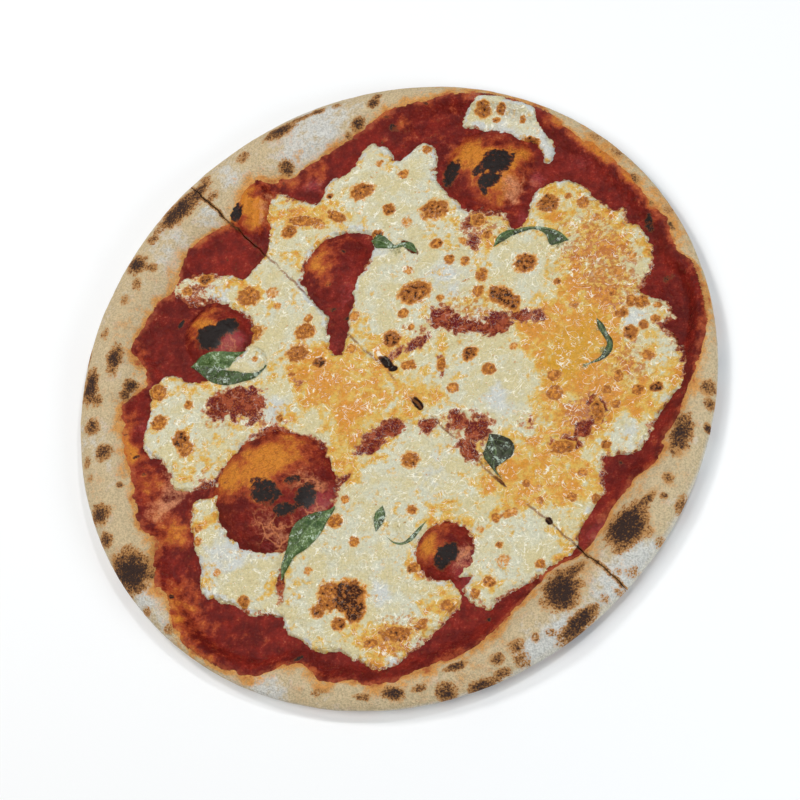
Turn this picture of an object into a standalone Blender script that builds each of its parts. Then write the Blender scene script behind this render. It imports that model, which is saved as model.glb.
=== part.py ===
"""A margherita pizza, cut once across the middle, in metres with +Z up.

The pizza lies flat on z = 0, centred on the origin. It is built in layers that follow each other's
shape: the dough with its raised rim and its bubbles, the sauce, the cheese and the basil leaves.
All layers stand on one net of points, so that their facets lie exactly over each other and the gap
between two layers is the same everywhere. The knife cut parts every layer in two.
"""
import math

import bmesh
import bpy
from mathutils import Vector, geometry

MM = 0.001

# Driving dimensions.
PIZZA_RADIUS = 150 * MM
DOUGH = 3.6 * MM             # thickness of the base under the sauce
RIM_LOW = 9.0 * MM           # crest of the rim where the sauce runs almost over the edge
RIM_HIGH = 14.5 * MM         # crest of the rim where it is widest
RIM_WIDE = 30 * MM           # a rim this wide is at its full height
RIM_SLOPE = 10 * MM          # the rim starts to rise this far inside the edge of the sauce
RIM_CREST = 0.58             # place of the crest, as a share of the way over the rim
RIM_EDGE = 6.6 * MM          # height of the outermost edge, seen from above
RIM_UNDERSIDE = 4.6 * MM     # height of the outermost edge, seen from below
RIM_UNDERCUT = 13 * MM       # the underside leaves the table this far inside the edge
RIM_LUMPS = 0.9 * MM         # how much the crest rises and falls round the pizza
SAUCE = 1.3 * MM
CHEESE = 2.3 * MM
CHEESE_SWELL = 0.5 * MM
LEAF = 2.0 * MM
LAYER_GAP = 0.3 * MM
LEAF_CLEARANCE = 0.5 * MM
KNIFE_CUT = 0.8 * MM
SWELL_ACROSS = 9 * MM        # the cheese swells and sinks over these lengths
SWELL_ALONG = 11 * MM
SWELL_SLANTING = 17 * MM
BUBBLE_FALL = 0.8            # how steeply a bubble falls towards its edge

NET_SPACING = 10 * MM
RIM_POINTS = 84              # points in each ring of the rim
RIM_RADII = [r * MM for r in (124, 131, 137, 142, 146, 149, 150)]
SAUCE_POINTS = 90            # points round the edge of the sauce
BUBBLE_POINTS = 8            # points round the opening over a bubble
CUTTER_HEIGHT = 80 * MM
CUTTER_REACH = 300           # half cutters reach this far past the pizza, in millimetres
SAME_POINT = 0.00001         # points closer together than this are one
ON_TABLE = 1e-9              # points lower than this lie on the table

# The outer edge of the sauce: direction in degrees, radius in millimetres.
SAUCE_EDGE = [
    (0, 142), (12, 148), (21, 142), (33, 143), (47, 144), (62, 147), (80, 144), (90, 137),
    (99, 128), (107, 122), (115, 118), (122, 128), (134, 117), (144, 124), (155, 119), (163, 126),
    (170, 128), (177, 117), (184, 128), (200, 126), (212, 129), (217, 124), (226, 137), (240, 147),
    (249, 145), (257, 133), (272, 140), (290, 133), (304, 123), (312, 121), (319, 127), (325, 123),
    (336, 126), (342, 133), (350, 135),
]

# Dough bubbles under the sauce: x, y, radius and height in millimetres.
BUBBLES = [
    (-48, -51, 30, 8.5),
    (45, 102, 21, 6.5),
    (33, -81, 14.5, 6.0),
    (-84, 28, 16, 5.0),
    (-27, 58, 17, 4.0),
    (-2, 128, 9, 2.0),
    (-72, 92, 13, 3.0),
    (-106, -50, 15, 2.0),
]
OPEN_BUBBLES = 4             # the first ones stand through the cheese

# The knife's path over the pizza, in millimetres.
KNIFE_PATH = [
    (-130, 133), (-105, 107), (-80, 84), (-57, 61), (-35, 40), (-12, 17), (13, -9), (50, -45),
    (77, -68), (106, -94), (130, -117),
]

# Outlines seen from above, in millimetres. The two big ones run past the knife's path, which trims them.
CHEESE_NORTH_EAST = [
    (-63, 68), (-60, 84), (-60, 98), (-46, 95), (-36, 95), (-33, 104), (-20, 113), (-12, 121), (-4, 117),
    (4, 113), (13, 119), (20, 110), (24, 94), (36, 82), (46, 80), (53, 78), (58, 72), (64, 79), (68, 89),
    (78, 92), (90, 89), (100, 79), (110, 74), (121, 58), (120, 44), (116, 36), (128, 29), (130, 19),
    (135, 5), (133, -12), (122, -30), (116, -39), (102, -42), (101, -58), (91, -75), (70, -85),
    (-20, 5), (-62, 50),
]
CHEESE_SOUTH_WEST = [
    (-60, 72), (-66, 64), (-78, 58), (-92, 61), (-105, 56), (-107, 50), (-98, 43), (-84, 44), (-70, 38),
    (-68, 24), (-80, 12), (-92, 4), (-104, 8), (-114, 2), (-116, -24), (-100, -40), (-92, -49),
    (-79, -47), (-60, -40), (-48, -42), (-42, -60), (-64, -54), (-76, -52), (-87, -56), (-82, -84),
    (-76, -98), (-58, -106), (-40, -108), (-30, -119), (-12, -124), (7, -132), (22, -123), (40, -103),
    (34, -92), (44, -97), (54, -105), (72, -95), (88, -80), (96, -60), (50, -20), (0, 40), (-30, 60),
]
CHEESE_NORTH = [
    (32, 127), (38, 136), (50, 138), (62, 134), (69, 122), (77, 108), (73, 103), (66, 113), (50, 119),
    (40, 124),
]
# Sauce showing through the cheese.
WINDOWS = {
    "north": [(-41, 62), (-30, 74), (-13, 74), (-10, 64), (-17, 50), (-18, 34), (-16, 18), (-25, 17),
              (-28, 34), (-38, 45)],
    "west": [(-82, -10), (-72, -1), (-60, -5), (-60, -14), (-72, -16)],
    "east": [(24, 35), (32, 34), (40, 28), (58, 27), (58, 21), (40, 20), (26, 24)],
    "centre": [(-8, -31), (1, -20), (11, -22), (6, -30), (-4, -34)],
    "south_east": [(32, -18), (42, -16), (49, -26), (46, -36), (36, -36)],
}
# Basil leaves, as far as they show.
LEAVES = {
    "west": [(-95, 13), (-86, 18), (-74, 19), (-62, 18), (-55, 9), (-64, 4), (-73, 1), (-84, 5)],
    "south_west": [(-18, -58), (-27, -62), (-36, -73), (-42, -90), (-35, -84), (-26, -73)],
    "south_east": [(48, -38), (53, -31), (62, -34), (58, -41), (56, -51), (49, -45)],
    "north": [(-11, 70), (-4, 72), (3, 68), (13, 66), (12, 62), (2, 63), (-8, 64)],
    "north_east": [(49, 60), (56, 68), (68, 71), (80, 67), (84, 60), (76, 59), (66, 65), (56, 63)],
    "east": [(97, 24), (102, 17), (103, 8), (97, 2), (96, 5), (99, 11), (98, 17)],
    "south": [(1, -60), (4, -60), (4, -70), (1, -70)],
}
LEAF_AT_CUT = "south_east"

# Colour, roughness.
DOUGH_LOOK = ((0.58, 0.43, 0.27), 0.85)
SAUCE_LOOK = ((0.30, 0.035, 0.02), 0.35)
CHEESE_LOOK = ((0.72, 0.60, 0.38), 0.4)
BASIL_LOOK = ((0.07, 0.12, 0.05), 0.35)


def clear_scene():
    for obj in list(bpy.data.objects):
        bpy.data.objects.remove(obj, do_unlink=True)


def new_collection(name):
    collection = bpy.data.collections.new(name)
    bpy.context.scene.collection.children.link(collection)
    return collection


def material(name, look):
    colour, roughness = look
    mat = bpy.data.materials.new(name)
    mat.use_nodes = True
    shader = mat.node_tree.nodes["Principled BSDF"]
    shader.inputs["Base Color"].default_value = (*colour, 1)
    shader.inputs["Roughness"].default_value = roughness
    shader.inputs["Metallic"].default_value = 0
    return mat


def smoothstep(t):
    t = min(1, max(0, t))
    return t * t * (3 - 2 * t)


def sauce_edge(angle):
    """The sauce's outer radius in a direction given in radians."""
    degrees = math.degrees(angle) % 360
    places = SAUCE_EDGE + [(360 + SAUCE_EDGE[0][0], SAUCE_EDGE[0][1])]
    for (start, radius), (end, next_radius) in zip(places, places[1:]):
        if degrees <= end:
            share = smoothstep((degrees - start) / (end - start))
            return (radius + (next_radius - radius) * share) * MM
    return SAUCE_EDGE[0][1] * MM


def dough_top(x, y):
    """Height of the dough's upper side: the flat base, the rim and the bubbles."""
    radius, angle = math.hypot(x, y), math.atan2(y, x)
    edge = sauce_edge(angle)
    start = edge - RIM_SLOPE
    height = DOUGH
    if radius > start:
        crest = RIM_LOW + (RIM_HIGH - RIM_LOW) * min(1, (PIZZA_RADIUS - edge) / RIM_WIDE)
        crest += RIM_LUMPS * (math.sin(5 * angle + 1) + 0.6 * math.sin(11 * angle))
        way = (radius - start) / (PIZZA_RADIUS - start)
        if way < RIM_CREST:
            height = DOUGH + (crest - DOUGH) * smoothstep(way / RIM_CREST)
        else:
            fall = min(1, (way - RIM_CREST) / (1 - RIM_CREST))
            height = RIM_EDGE + (crest - RIM_EDGE) * math.sqrt(1 - fall * fall)
    for bubble_x, bubble_y, bubble_radius, rise in BUBBLES:
        away = math.hypot(x - bubble_x * MM, y - bubble_y * MM) / (bubble_radius * MM)
        if away < 1:
            height += rise * MM * (1 - away * away) ** BUBBLE_FALL
    return height


def dough_underside(x, y):
    """Flat on the table, and rounded up towards the outermost edge."""
    share = (math.hypot(x, y) - (PIZZA_RADIUS - RIM_UNDERCUT)) / RIM_UNDERCUT
    if share <= 0:
        return 0.0
    return RIM_UNDERSIDE * (1 - math.sqrt(1 - min(1, share) ** 2))


def sauce_underside(x, y):
    return dough_top(x, y) + LAYER_GAP


def sauce_top(x, y):
    return sauce_underside(x, y) + SAUCE


def topping_underside(x, y):
    return sauce_top(x, y) + LAYER_GAP


def cheese_top(x, y):
    swell = math.sin(x / SWELL_ACROSS + 1) * math.cos(y / SWELL_ALONG)
    swell += math.sin((x + y) / SWELL_SLANTING)
    return topping_underside(x, y) + CHEESE + CHEESE_SWELL * swell


def leaf_top(x, y):
    return topping_underside(x, y) + LEAF


def net_points():
    """Points in rings, evenly spaced on the base and closer together over the rim."""
    base_rings = range(1, int(RIM_RADII[0] / NET_SPACING))
    rings = [(ring * NET_SPACING, round(math.tau * ring), ring / 2) for ring in base_rings]
    rings += [(radius, RIM_POINTS, 0) for radius in RIM_RADII]
    points = [Vector((0, 0))]
    for radius, count, turn in rings:
        for step in range(count):
            angle = math.tau * (step + turn) / count
            points.append(Vector((radius * math.cos(angle), radius * math.sin(angle))))
    return points


def sheet(name, underside, top, look, collection):
    """A closed solid over the whole net, between two height functions."""
    places, _, triangles, *_ = geometry.delaunay_2d_cdt(net_points(), [], [], 0, 1e-7)
    bm = bmesh.new()
    verts = [bm.verts.new((p.x, p.y, 0)) for p in places]
    for triangle in triangles:
        bm.faces.new([verts[i] for i in triangle])
    extruded = bmesh.ops.extrude_face_region(bm, geom=bm.faces[:])
    upper = {item for item in extruded["geom"] if isinstance(item, bmesh.types.BMVert)}
    for vert in bm.verts:
        height = top if vert in upper else underside
        vert.co.z = height(vert.co.x, vert.co.y)
    bmesh.ops.recalc_face_normals(bm, faces=bm.faces[:])
    mesh = bpy.data.meshes.new(name)
    bm.to_mesh(mesh)
    bm.free()
    mesh.materials.append(look)
    obj = bpy.data.objects.new(name, mesh)
    collection.objects.link(obj)
    return obj


def merge_flat_underside(obj):
    """Joins the facets that lie on the table into one face."""
    bm = bmesh.new()
    bm.from_mesh(obj.data)
    low = [f for f in bm.faces if max(v.co.z for v in f.verts) < ON_TABLE]
    inner = {e for f in low for e in f.edges if all(g in low for g in e.link_faces)}
    bmesh.ops.dissolve_edges(bm, edges=list(inner), use_verts=True)
    bm.to_mesh(obj.data)
    bm.free()


def cutter_from_outline(name, outline, collection, smooth=True, widen=0.0):
    """A tall upright prism over a closed outline given in millimetres."""
    curve = bpy.data.curves.new(name, "CURVE")
    curve.dimensions = "2D"
    curve.fill_mode = "BOTH"
    curve.extrude = CUTTER_HEIGHT / 2
    curve.offset = widen
    curve.resolution_u = 2 if smooth else 1
    spline = curve.splines.new("BEZIER")
    spline.use_cyclic_u = True
    spline.bezier_points.add(len(outline) - 1)
    for point, (x, y) in zip(spline.bezier_points, outline):
        point.co = (x * MM, y * MM, 0)
        point.handle_left_type = point.handle_right_type = "AUTO" if smooth else "VECTOR"
    guide = bpy.data.objects.new(name + "_outline", curve)
    collection.objects.link(guide)
    bpy.context.view_layer.update()
    graph = bpy.context.evaluated_depsgraph_get()
    mesh = bpy.data.meshes.new_from_object(guide.evaluated_get(graph))
    bm = bmesh.new()
    bm.from_mesh(mesh)
    bmesh.ops.remove_doubles(bm, verts=bm.verts[:], dist=SAME_POINT)
    bmesh.ops.recalc_face_normals(bm, faces=bm.faces[:])
    bm.to_mesh(mesh)
    bm.free()
    cutter = bpy.data.objects.new(name, mesh)
    cutter.matrix_world = guide.matrix_world
    cutter.hide_render = True
    cutter.display_type = "WIRE"
    collection.objects.link(cutter)
    bpy.data.objects.remove(guide, do_unlink=True)
    return cutter


def half_cutter(name, side, collection):
    """Everything on one side of the knife's path; side is 1 for the upper right and -1 for the other."""
    shift = side * KNIFE_CUT / 2 / MM * math.sqrt(0.5)
    path = [(x + shift, y + shift) for x, y in KNIFE_PATH]
    corner = side * CUTTER_REACH
    far = [(path[-1][0] + corner, path[-1][1]), (corner, corner), (path[0][0], path[0][1] + corner)]
    if side < 0:
        far = [(path[-1][0], path[-1][1] + corner), (corner, corner), (path[0][0] + corner, path[0][1])]
    return cutter_from_outline(name, path + far, collection, smooth=False)


def trim(obj, operation, cutter):
    modifier = obj.modifiers.new(operation.lower() + "_" + cutter.name, "BOOLEAN")
    modifier.operation = operation
    modifier.solver = "EXACT"
    modifier.object = cutter


def sauce_outline():
    outline = []
    for step in range(SAUCE_POINTS):
        angle = math.tau * step / SAUCE_POINTS
        radius = sauce_edge(angle) / MM
        outline.append((radius * math.cos(angle), radius * math.sin(angle)))
    return outline


def main():
    clear_scene()
    parts = new_collection("margherita_pizza")
    cutters = new_collection("cutters")
    dough = material("dough", DOUGH_LOOK)
    sauce = material("tomato_sauce", SAUCE_LOOK)
    cheese = material("cheese", CHEESE_LOOK)
    basil = material("basil", BASIL_LOOK)

    halves = {
        "north_east": half_cutter("half_north_east", 1, cutters),
        "south_west": half_cutter("half_south_west", -1, cutters),
    }
    sauce_cutter = cutter_from_outline("sauce_outline", sauce_outline(), cutters, smooth=False)
    for half_name, half in halves.items():
        crust = sheet("crust_" + half_name, dough_underside, dough_top, dough, parts)
        merge_flat_underside(crust)
        trim(crust, "INTERSECT", half)
        layer = sheet("sauce_" + half_name, sauce_underside, sauce_top, sauce, parts)
        trim(layer, "INTERSECT", sauce_cutter)
        trim(layer, "INTERSECT", half)

    leaf_places = {}
    for leaf_name, outline in LEAVES.items():
        leaf = sheet("basil_" + leaf_name, topping_underside, leaf_top, basil, parts)
        trim(leaf, "INTERSECT", cutter_from_outline("leaf_" + leaf_name, outline, cutters))
        if leaf_name == LEAF_AT_CUT:
            trim(leaf, "INTERSECT", halves["north_east"])
        leaf_places[leaf_name] = cutter_from_outline(
            "place_" + leaf_name, outline, cutters, widen=LEAF_CLEARANCE)
    bubble_places = []
    for index, (x, y, radius, _) in enumerate(BUBBLES[:OPEN_BUBBLES]):
        turns = [math.tau * step / BUBBLE_POINTS for step in range(BUBBLE_POINTS)]
        ring = [(x + radius * math.cos(a), y + radius * math.sin(a)) for a in turns]
        bubble_places.append(cutter_from_outline(f"bubble_{index}", ring, cutters))
    window_places = {
        name: cutter_from_outline("window_" + name, outline, cutters)
        for name, outline in WINDOWS.items()
    }

    north_east = sheet("cheese_north_east", topping_underside, cheese_top, cheese, parts)
    trim(north_east, "INTERSECT", cutter_from_outline("cheese_area_ne", CHEESE_NORTH_EAST, cutters))
    trim(north_east, "INTERSECT", halves["north_east"])
    trim(north_east, "DIFFERENCE", bubble_places[1])
    for name in ("north", "east", "south_east"):
        trim(north_east, "DIFFERENCE", window_places[name])
    for name in ("north", "north_east", "east", "south_east"):
        trim(north_east, "DIFFERENCE", leaf_places[name])

    south_west = sheet("cheese_south_west", topping_underside, cheese_top, cheese, parts)
    trim(south_west, "INTERSECT", cutter_from_outline("cheese_area_sw", CHEESE_SOUTH_WEST, cutters))
    trim(south_west, "INTERSECT", halves["south_west"])
    for place in (bubble_places[0], bubble_places[2], bubble_places[3]):
        trim(south_west, "DIFFERENCE", place)
    for name in ("north", "west", "centre"):
        trim(south_west, "DIFFERENCE", window_places[name])
    for name in ("west", "south_west", "south"):
        trim(south_west, "DIFFERENCE", leaf_places[name])

    north = sheet("cheese_north", topping_underside, cheese_top, cheese, parts)
    trim(north, "INTERSECT", cutter_from_outline("cheese_area_n", CHEESE_NORTH, cutters))


main()
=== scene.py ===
"""Looks of a margherita pizza: baked dough, tomato sauce, melted cheese and basil leaves.

Places are in millimetres on the pizza, x and y from its centre and z up from the table. Each layer is
a height over the pizza, worked out from the named places below, and is made into one closed mesh. The
knife's path then parts the dough, the sauce and the cheese. Finished meshes are in metres.
"""
import math

import bmesh
import bpy
import numpy as np
from mathutils import Matrix, Vector, geometry


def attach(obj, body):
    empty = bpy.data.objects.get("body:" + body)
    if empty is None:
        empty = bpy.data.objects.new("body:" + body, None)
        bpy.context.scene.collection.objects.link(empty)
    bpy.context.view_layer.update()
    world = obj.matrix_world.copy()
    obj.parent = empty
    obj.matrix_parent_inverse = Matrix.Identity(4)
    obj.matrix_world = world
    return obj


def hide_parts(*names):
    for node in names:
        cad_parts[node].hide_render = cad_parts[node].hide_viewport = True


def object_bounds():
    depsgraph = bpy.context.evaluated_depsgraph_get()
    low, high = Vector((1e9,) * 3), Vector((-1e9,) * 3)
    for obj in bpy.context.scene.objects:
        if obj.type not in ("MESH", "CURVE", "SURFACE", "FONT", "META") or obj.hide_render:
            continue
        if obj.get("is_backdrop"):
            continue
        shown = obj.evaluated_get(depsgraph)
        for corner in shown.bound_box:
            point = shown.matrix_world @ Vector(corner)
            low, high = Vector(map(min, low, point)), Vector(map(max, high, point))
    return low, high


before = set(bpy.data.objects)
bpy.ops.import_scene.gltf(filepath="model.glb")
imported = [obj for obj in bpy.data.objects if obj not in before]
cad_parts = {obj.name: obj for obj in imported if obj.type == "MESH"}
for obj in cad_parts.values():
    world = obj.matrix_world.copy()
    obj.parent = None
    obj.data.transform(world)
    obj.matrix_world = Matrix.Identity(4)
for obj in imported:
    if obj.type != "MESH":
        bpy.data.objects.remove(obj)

MM = 0.001
CAD_BOX = [list(corner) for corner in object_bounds()]

# ---- Sizes, as in the solids ------------------------------------------------------------------
SIDE_MARGIN, TOP_MARGIN = 0.1, 0.05    # the pieces stay this far inside the solids
PIZZA_RADIUS = 1000 * (CAD_BOX[1][0] - CAD_BOX[0][0]) / 2 - SIDE_MARGIN
PIZZA_TOP = 1000 * CAD_BOX[1][2] - TOP_MARGIN
DOUGH = 3.6                      # thickness of the base under the sauce
RIM_LOW, RIM_HIGH = 8.8, 13.6    # height of the rim where it is narrow and where it is RIM_WIDE wide
RIM_WIDE = 30
RIM_SLOPE = 10                   # the rim starts to rise this far inside the sauce's edge
RIM_CREST = 0.58                 # share of the rim's width at which its crest lies
RIM_EDGE = 5.6                   # height of the outermost edge
RIM_UNDERCUT = 13                # the underside starts this far inside the outermost edge
RIM_WAVES = [(0.7, 5, 1), (0.4, 11, 0)]    # waves along the crest: height, how many, turn
SAUCE = 1.3                      # thickness of the sauce and of the cheese
CHEESE = 2.0
SAUCE_UNDERSIDE = 2.8            # both layers reach down into what lies below them
CHEESE_UNDERSIDE = 3.3
SAUCE_TUCK = 4.5                 # the sauce runs on under the rising dough this far past its edge
SAUCE_REACH = PIZZA_RADIUS - 2.8
CHEESE_TUCK = 1.1                # the cheese's sheet dips into the sauce this far past its edge
CHEESE_REACH = PIZZA_RADIUS - 3.8
THINNEST = 0.3                   # no layer is thinner than this
KNIFE_GAP = 0.5                  # width of the cut in the dough where it is open
CLOSED_SHARE = 0.12              # share of that width where the cut has closed again
SAUCE_GAP_MORE = 0.1             # the sauce has drawn back a little further,
CHEESE_GAP_SHARE = 0.3           # and the cheese has sagged back towards the cut
CHEESE_GAP_MORE = 0.02
CUT_OPENING = 8                  # the closed cut opens to its full width over this distance

# ---- Fineness of the meshes -------------------------------------------------------------------
DOUGH_SECTORS = 1180
DOUGH_INNER = 108                # inside this radius the dough lies hidden, so it is one flat face
HIDDEN_DEPTH = 0.6               # which lies this far below the rest
SLOPE_RINGS, BROW_RINGS, UNDER_RINGS = 46, 30, 14
SAUCE_STEP = 0.75
CHEESE_STEP = 0.5
LEAF_STEP = 0.45
ROW_SHIFT = 0.31                 # share of a step by which the grid's rows miss the knife's path
SHARP_DEGREES = 70               # edges that turn more than this stay sharp

# ---- Shape of the pizza -----------------------------------------------------------------------
# The sauce's outer edge: direction in degrees, radius.
SAUCE_EDGE = [
    (0, 142), (8, 147), (12, 149), (17, 148), (21, 142), (26, 144), (33, 143), (43, 143), (47, 144),
    (52, 142.5), (56, 144), (62, 147.5), (70, 147), (75, 145), (80, 144), (85, 140.5), (90, 137), (94, 134),
    (99, 128), (107, 122), (115, 118), (120, 122), (123, 128), (127, 125), (134, 117), (141, 123),
    (146, 125), (149, 122), (155, 119), (161, 125.5), (165, 125), (170, 128), (175, 118), (178.5, 117),
    (182, 128), (186, 127), (192, 127), (198, 126), (202, 126.5), (208, 129), (212, 129), (216, 124),
    (219, 132), (223, 137), (227, 137), (232, 144), (237, 147), (243, 147), (249, 145), (254, 136),
    (258, 132), (262, 139), (268, 138), (272, 140), (276, 138), (283, 135), (288, 133), (294, 131.5),
    (300, 127), (305, 123), (310, 121), (314, 121.5), (318.6, 127), (322, 124.5), (325, 123), (330, 124),
    (336, 126), (340, 133), (345, 132), (349, 135), (354, 139), (357, 141),
]

# Dough bubbles under the sauce, the ones free of cheese first: x, y, radius, height.
OPEN_BUBBLES = 4
HIGH_BUBBLES = 5                 # the first ones, high enough to move what is seen on them
BUBBLES = [
    (-48, -51, 30, 8.5), (45, 102, 21, 6.5), (33, -81, 14.5, 6.0), (-84, 28, 16, 5.0), (-27, 58, 17, 3.6),
    (-2, 128, 9, 1.8), (-72, 92, 13, 3.0), (-106, -50, 15, 1.6), (-68, -8, 12, 1.8), (40, -27, 11, 1.2),
]

# Folds standing up in the dough and its sauce: x, y, half length, half width, turn in degrees, height.
FOLDS = [
    (-73, 90, 13, 2.8, 82, 3.0), (-65, 91, 15, 2.8, 97, 3.2), (-94, -38, 12, 5, 60, 1.0),
    (-104, -72, 12, 4, 75, 1.0), (120, 22, 16, 4, 80, 0.8), (92, 100, 14, 4, -45, 0.8),
    (-98, 70, 10, 4, 35, 0.8), (-20, -138, 14, 4, 5, 0.8),
]

# The knife's path over the pizza.
KNIFE_PATH = [
    (-130, 133), (-105, 107), (-88, 91), (-75, 79), (-60, 65), (-35, 40), (-18, 23), (0, 6), (13, -9),
    (28, -23), (50, -45), (64, -58), (77, -68), (88, -78.5), (97, -87), (106, -94), (113, -102),
    (130, -117),
]
# Where the cheese has run together again over the cut, measured along it from the middle.
CUT_CLOSED = (-88, 96)

# Outlines as x, y. First the melted cheese that the knife has parted, clockwise from the cut's left end.
CHEESE_MAIN = [
    (-63, 68), (-61, 76), (-62, 85), (-62, 92), (-60, 100), (-52, 98), (-45, 94), (-38, 93), (-36, 97),
    (-33, 104), (-28, 106), (-23, 108), (-20, 113), (-17, 118), (-13, 121), (-8, 120), (-4, 117), (-2, 112),
    (2, 111), (5, 114), (8, 117), (13, 119), (17, 117), (20, 111), (19, 104), (21, 98), (26, 91), (31, 86),
    (35, 82), (40, 82), (47, 81), (53, 79), (55, 75), (57, 71), (61, 71), (64, 76), (65, 82), (68, 89),
    (72, 91), (77, 92), (84, 92), (91, 88), (95, 82), (100, 79), (104, 76), (109, 76), (110, 70), (115, 67),
    (118, 62), (121, 57), (121, 45), (118, 38), (115, 35.5), (120, 32), (128, 29), (131, 22), (127, 18),
    (131, 13), (134, 8), (136, 2), (134, -10), (131, -15), (127, -20), (123, -25), (121, -32), (118, -37),
    (112, -40), (105, -41), (101, -42), (102, -50), (101, -58), (96, -65), (92, -72), (90, -78), (88, -84),
    (83, -87), (78, -90), (72, -95), (64, -99), (58, -103), (52, -106), (46, -103), (41, -98), (44, -93),
    (36, -93), (40, -99), (41, -104), (38, -108), (33, -113), (28, -118), (20, -124), (14, -129), (8, -132),
    (0, -130), (-8, -126), (-15, -123), (-20, -125), (-25, -123), (-30, -119), (-37, -115), (-40, -109),
    (-47, -107), (-55, -107), (-62, -103), (-72, -100), (-78, -97), (-81, -92), (-81, -85), (-84, -78),
    (-86, -70), (-88, -62), (-87, -55), (-80, -51.5), (-70, -54), (-62, -54), (-62, -46), (-76, -47),
    (-85, -48), (-94, -49), (-98, -46), (-100, -40), (-105, -35), (-112, -30), (-116, -25), (-114, -10),
    (-115, 0), (-113, 4), (-107, 8), (-100, 7.5), (-95, 4.5), (-88, 5), (-80, 8), (-73, 13), (-68, 19),
    (-66, 27), (-69, 35), (-74, 39), (-80, 43), (-86, 45), (-92, 44), (-98, 43), (-103, 46), (-107, 51),
    (-105, 56), (-98, 60), (-92, 61), (-85, 59), (-80, 58), (-75, 56), (-70, 58), (-66, 64),
]
# The separate patch of cheese near the top edge.
CHEESE_NORTH = [
    (31, 127), (34, 134), (42, 138), (50, 137.5), (58, 137), (63, 133), (67, 128), (68, 122), (72, 117),
    (76, 111), (75, 105), (73, 102), (70, 108), (67, 113), (60, 116), (52, 118), (45, 121), (40, 124),
    (35, 125),
]
# Sauce showing through the cheese.
WINDOWS = [
    [(-42, 60), (-38, 67), (-33, 72), (-26, 75), (-18, 76), (-12, 74), (-9, 69), (-10, 62), (-13, 55),
     (-16, 48), (-17, 40), (-18, 34), (-19, 28), (-19, 22), (-21, 15), (-25, 15), (-28, 20), (-29, 28),
     (-29, 34), (-35, 40), (-40, 46), (-43, 52)],
]
# Places where only a skin of cheese covers the sauce: x, y, half length, half width, turn in degrees,
# strength.
BARE = [
    (-76, -7, 9, 7, 25, 1.0), (-66, -8, 9, 8, 0, 1.0), (-60, -14, 6, 3, 60, 0.6), (-3, -29, 6, 5, 45, 1.0),
    (5, -23.5, 7, 4, 12, 1.0), (-9, -33, 3, 2.4, 40, 0.9), (22, -23, 4, 3.4, 30, 0.8),
    (36, -22, 6, 5, -30, 0.8), (45, -26, 7, 7, -50, 0.85), (41, -35, 7, 4, -60, 0.8),
    (26, 28, 5.5, 6, 30, 1.0), (33, 25, 7, 4.4, -20, 0.9), (42, 23, 8, 3, -8, 0.9),
    (52, 24, 7, 5.4, 10, 1.0), (63, 27, 6, 3.4, -20, 0.8), (70, 26, 5, 3.4, 0, 0.6),
    (-41.5, -95, 1.8, 7, 5, 0.9), (15, 17, 8, 2.6, 30, 0.65), (6, 13, 6, 2, 40, 0.6),
    (27, 5, 1.8, 6, 5, 0.7), (-18, -48, 6, 2, 30, 0.7), (98, -20, 3.4, 7, 10, 0.95),
    (92, -28, 5, 3.4, 50, 0.85), (85, -34.5, 7, 3.4, 0, 0.85), (43, 79, 4, 2.6, 0, 0.5),
]
# The cheese that has run over the middle of the left leaf.
LEAF_COVER = [
    (-80, 10), (-77, 14), (-73, 18.5), (-68, 21), (-61, 19), (-57, 14), (-58, 8), (-64, 5.5), (-70, 7),
    (-75, 8.5),
]

# ---- Places of colour on the cheese -----------------------------------------------------------
# The tables down to the blisters give x, y, radius, strength. First golden fields and creamy pools.
GOLDEN = [
    (-12, -5, 22, 1.0), (-10, -30, 12, 0.9), (-15, -40, 10, 0.7), (-30, 4, 14, 0.9), (90, 40, 22, 0.5),
    (100, 60, 16, 0.45), (85, 10, 20, 1.0), (85, -15, 15, 0.8), (80, -50, 20, 0.8), (100, -10, 12, 0.7),
    (118, 0, 18, 0.6), (115, -20, 14, 0.6), (12, -118, 9, 0.9), (35, -105, 7, 0.9), (5, -123, 8, 0.6),
    (-45, 83, 9, 0.8), (-33, 87, 6, 0.7), (25, 12, 8, 0.6), (-88, -3, 8, 0.5), (-36, 10, 8, 0.7),
    (60, -45, 12, 0.6), (88, -30, 12, 0.8), (88, 68, 14, 0.35), (100, 25, 12, 0.6), (70, 20, 9, 0.6),
    (18, -8, 9, 0.5), (46, 68, 8, 0.7), (45, 42, 7, 0.5), (-66, 48, 8, 0.6), (28, -62, 9, 0.5),
    (18, -88, 8, 0.5), (-60, 5, 8, 0.3), (60, -60, 9, 0.5), (-83, -70, 5, 0.4), (110, 40, 12, 0.4),
]
CREAMY = [
    (0, 97, 24, 1.2), (2, 50, 21, 1.3), (-45, 32, 16, 1.2), (15, -44, 19, 1.2), (47, -2, 17, 1.0),
    (63, 50, 13, 1.0), (-100, -15, 15, 1.0), (-70, -82, 14, 1.2), (-60, -95, 12, 1.0), (-8, -80, 24, 1.0),
    (66, -82, 17, 1.0), (115, 24, 9, 0.9), (112, -30, 8, 0.9), (55, -12, 12, 1.0), (-55, 55, 10, 0.7),
    (-50, -8, 9, 0.6), (48, 125, 20, 1.2), (71, 110, 9, 1.4), (60, 128, 8, 0.8), (30, 50, 12, 0.9),
    (-70, 15, 10, 1.0), (22, 5, 8, 0.6), (-28, -105, 12, 0.8), (10, -105, 11, 0.8), (-50, 75, 9, 0.4),
    (126, 5, 9, 0.5), (-92, 50, 10, 0.6),
]
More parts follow.
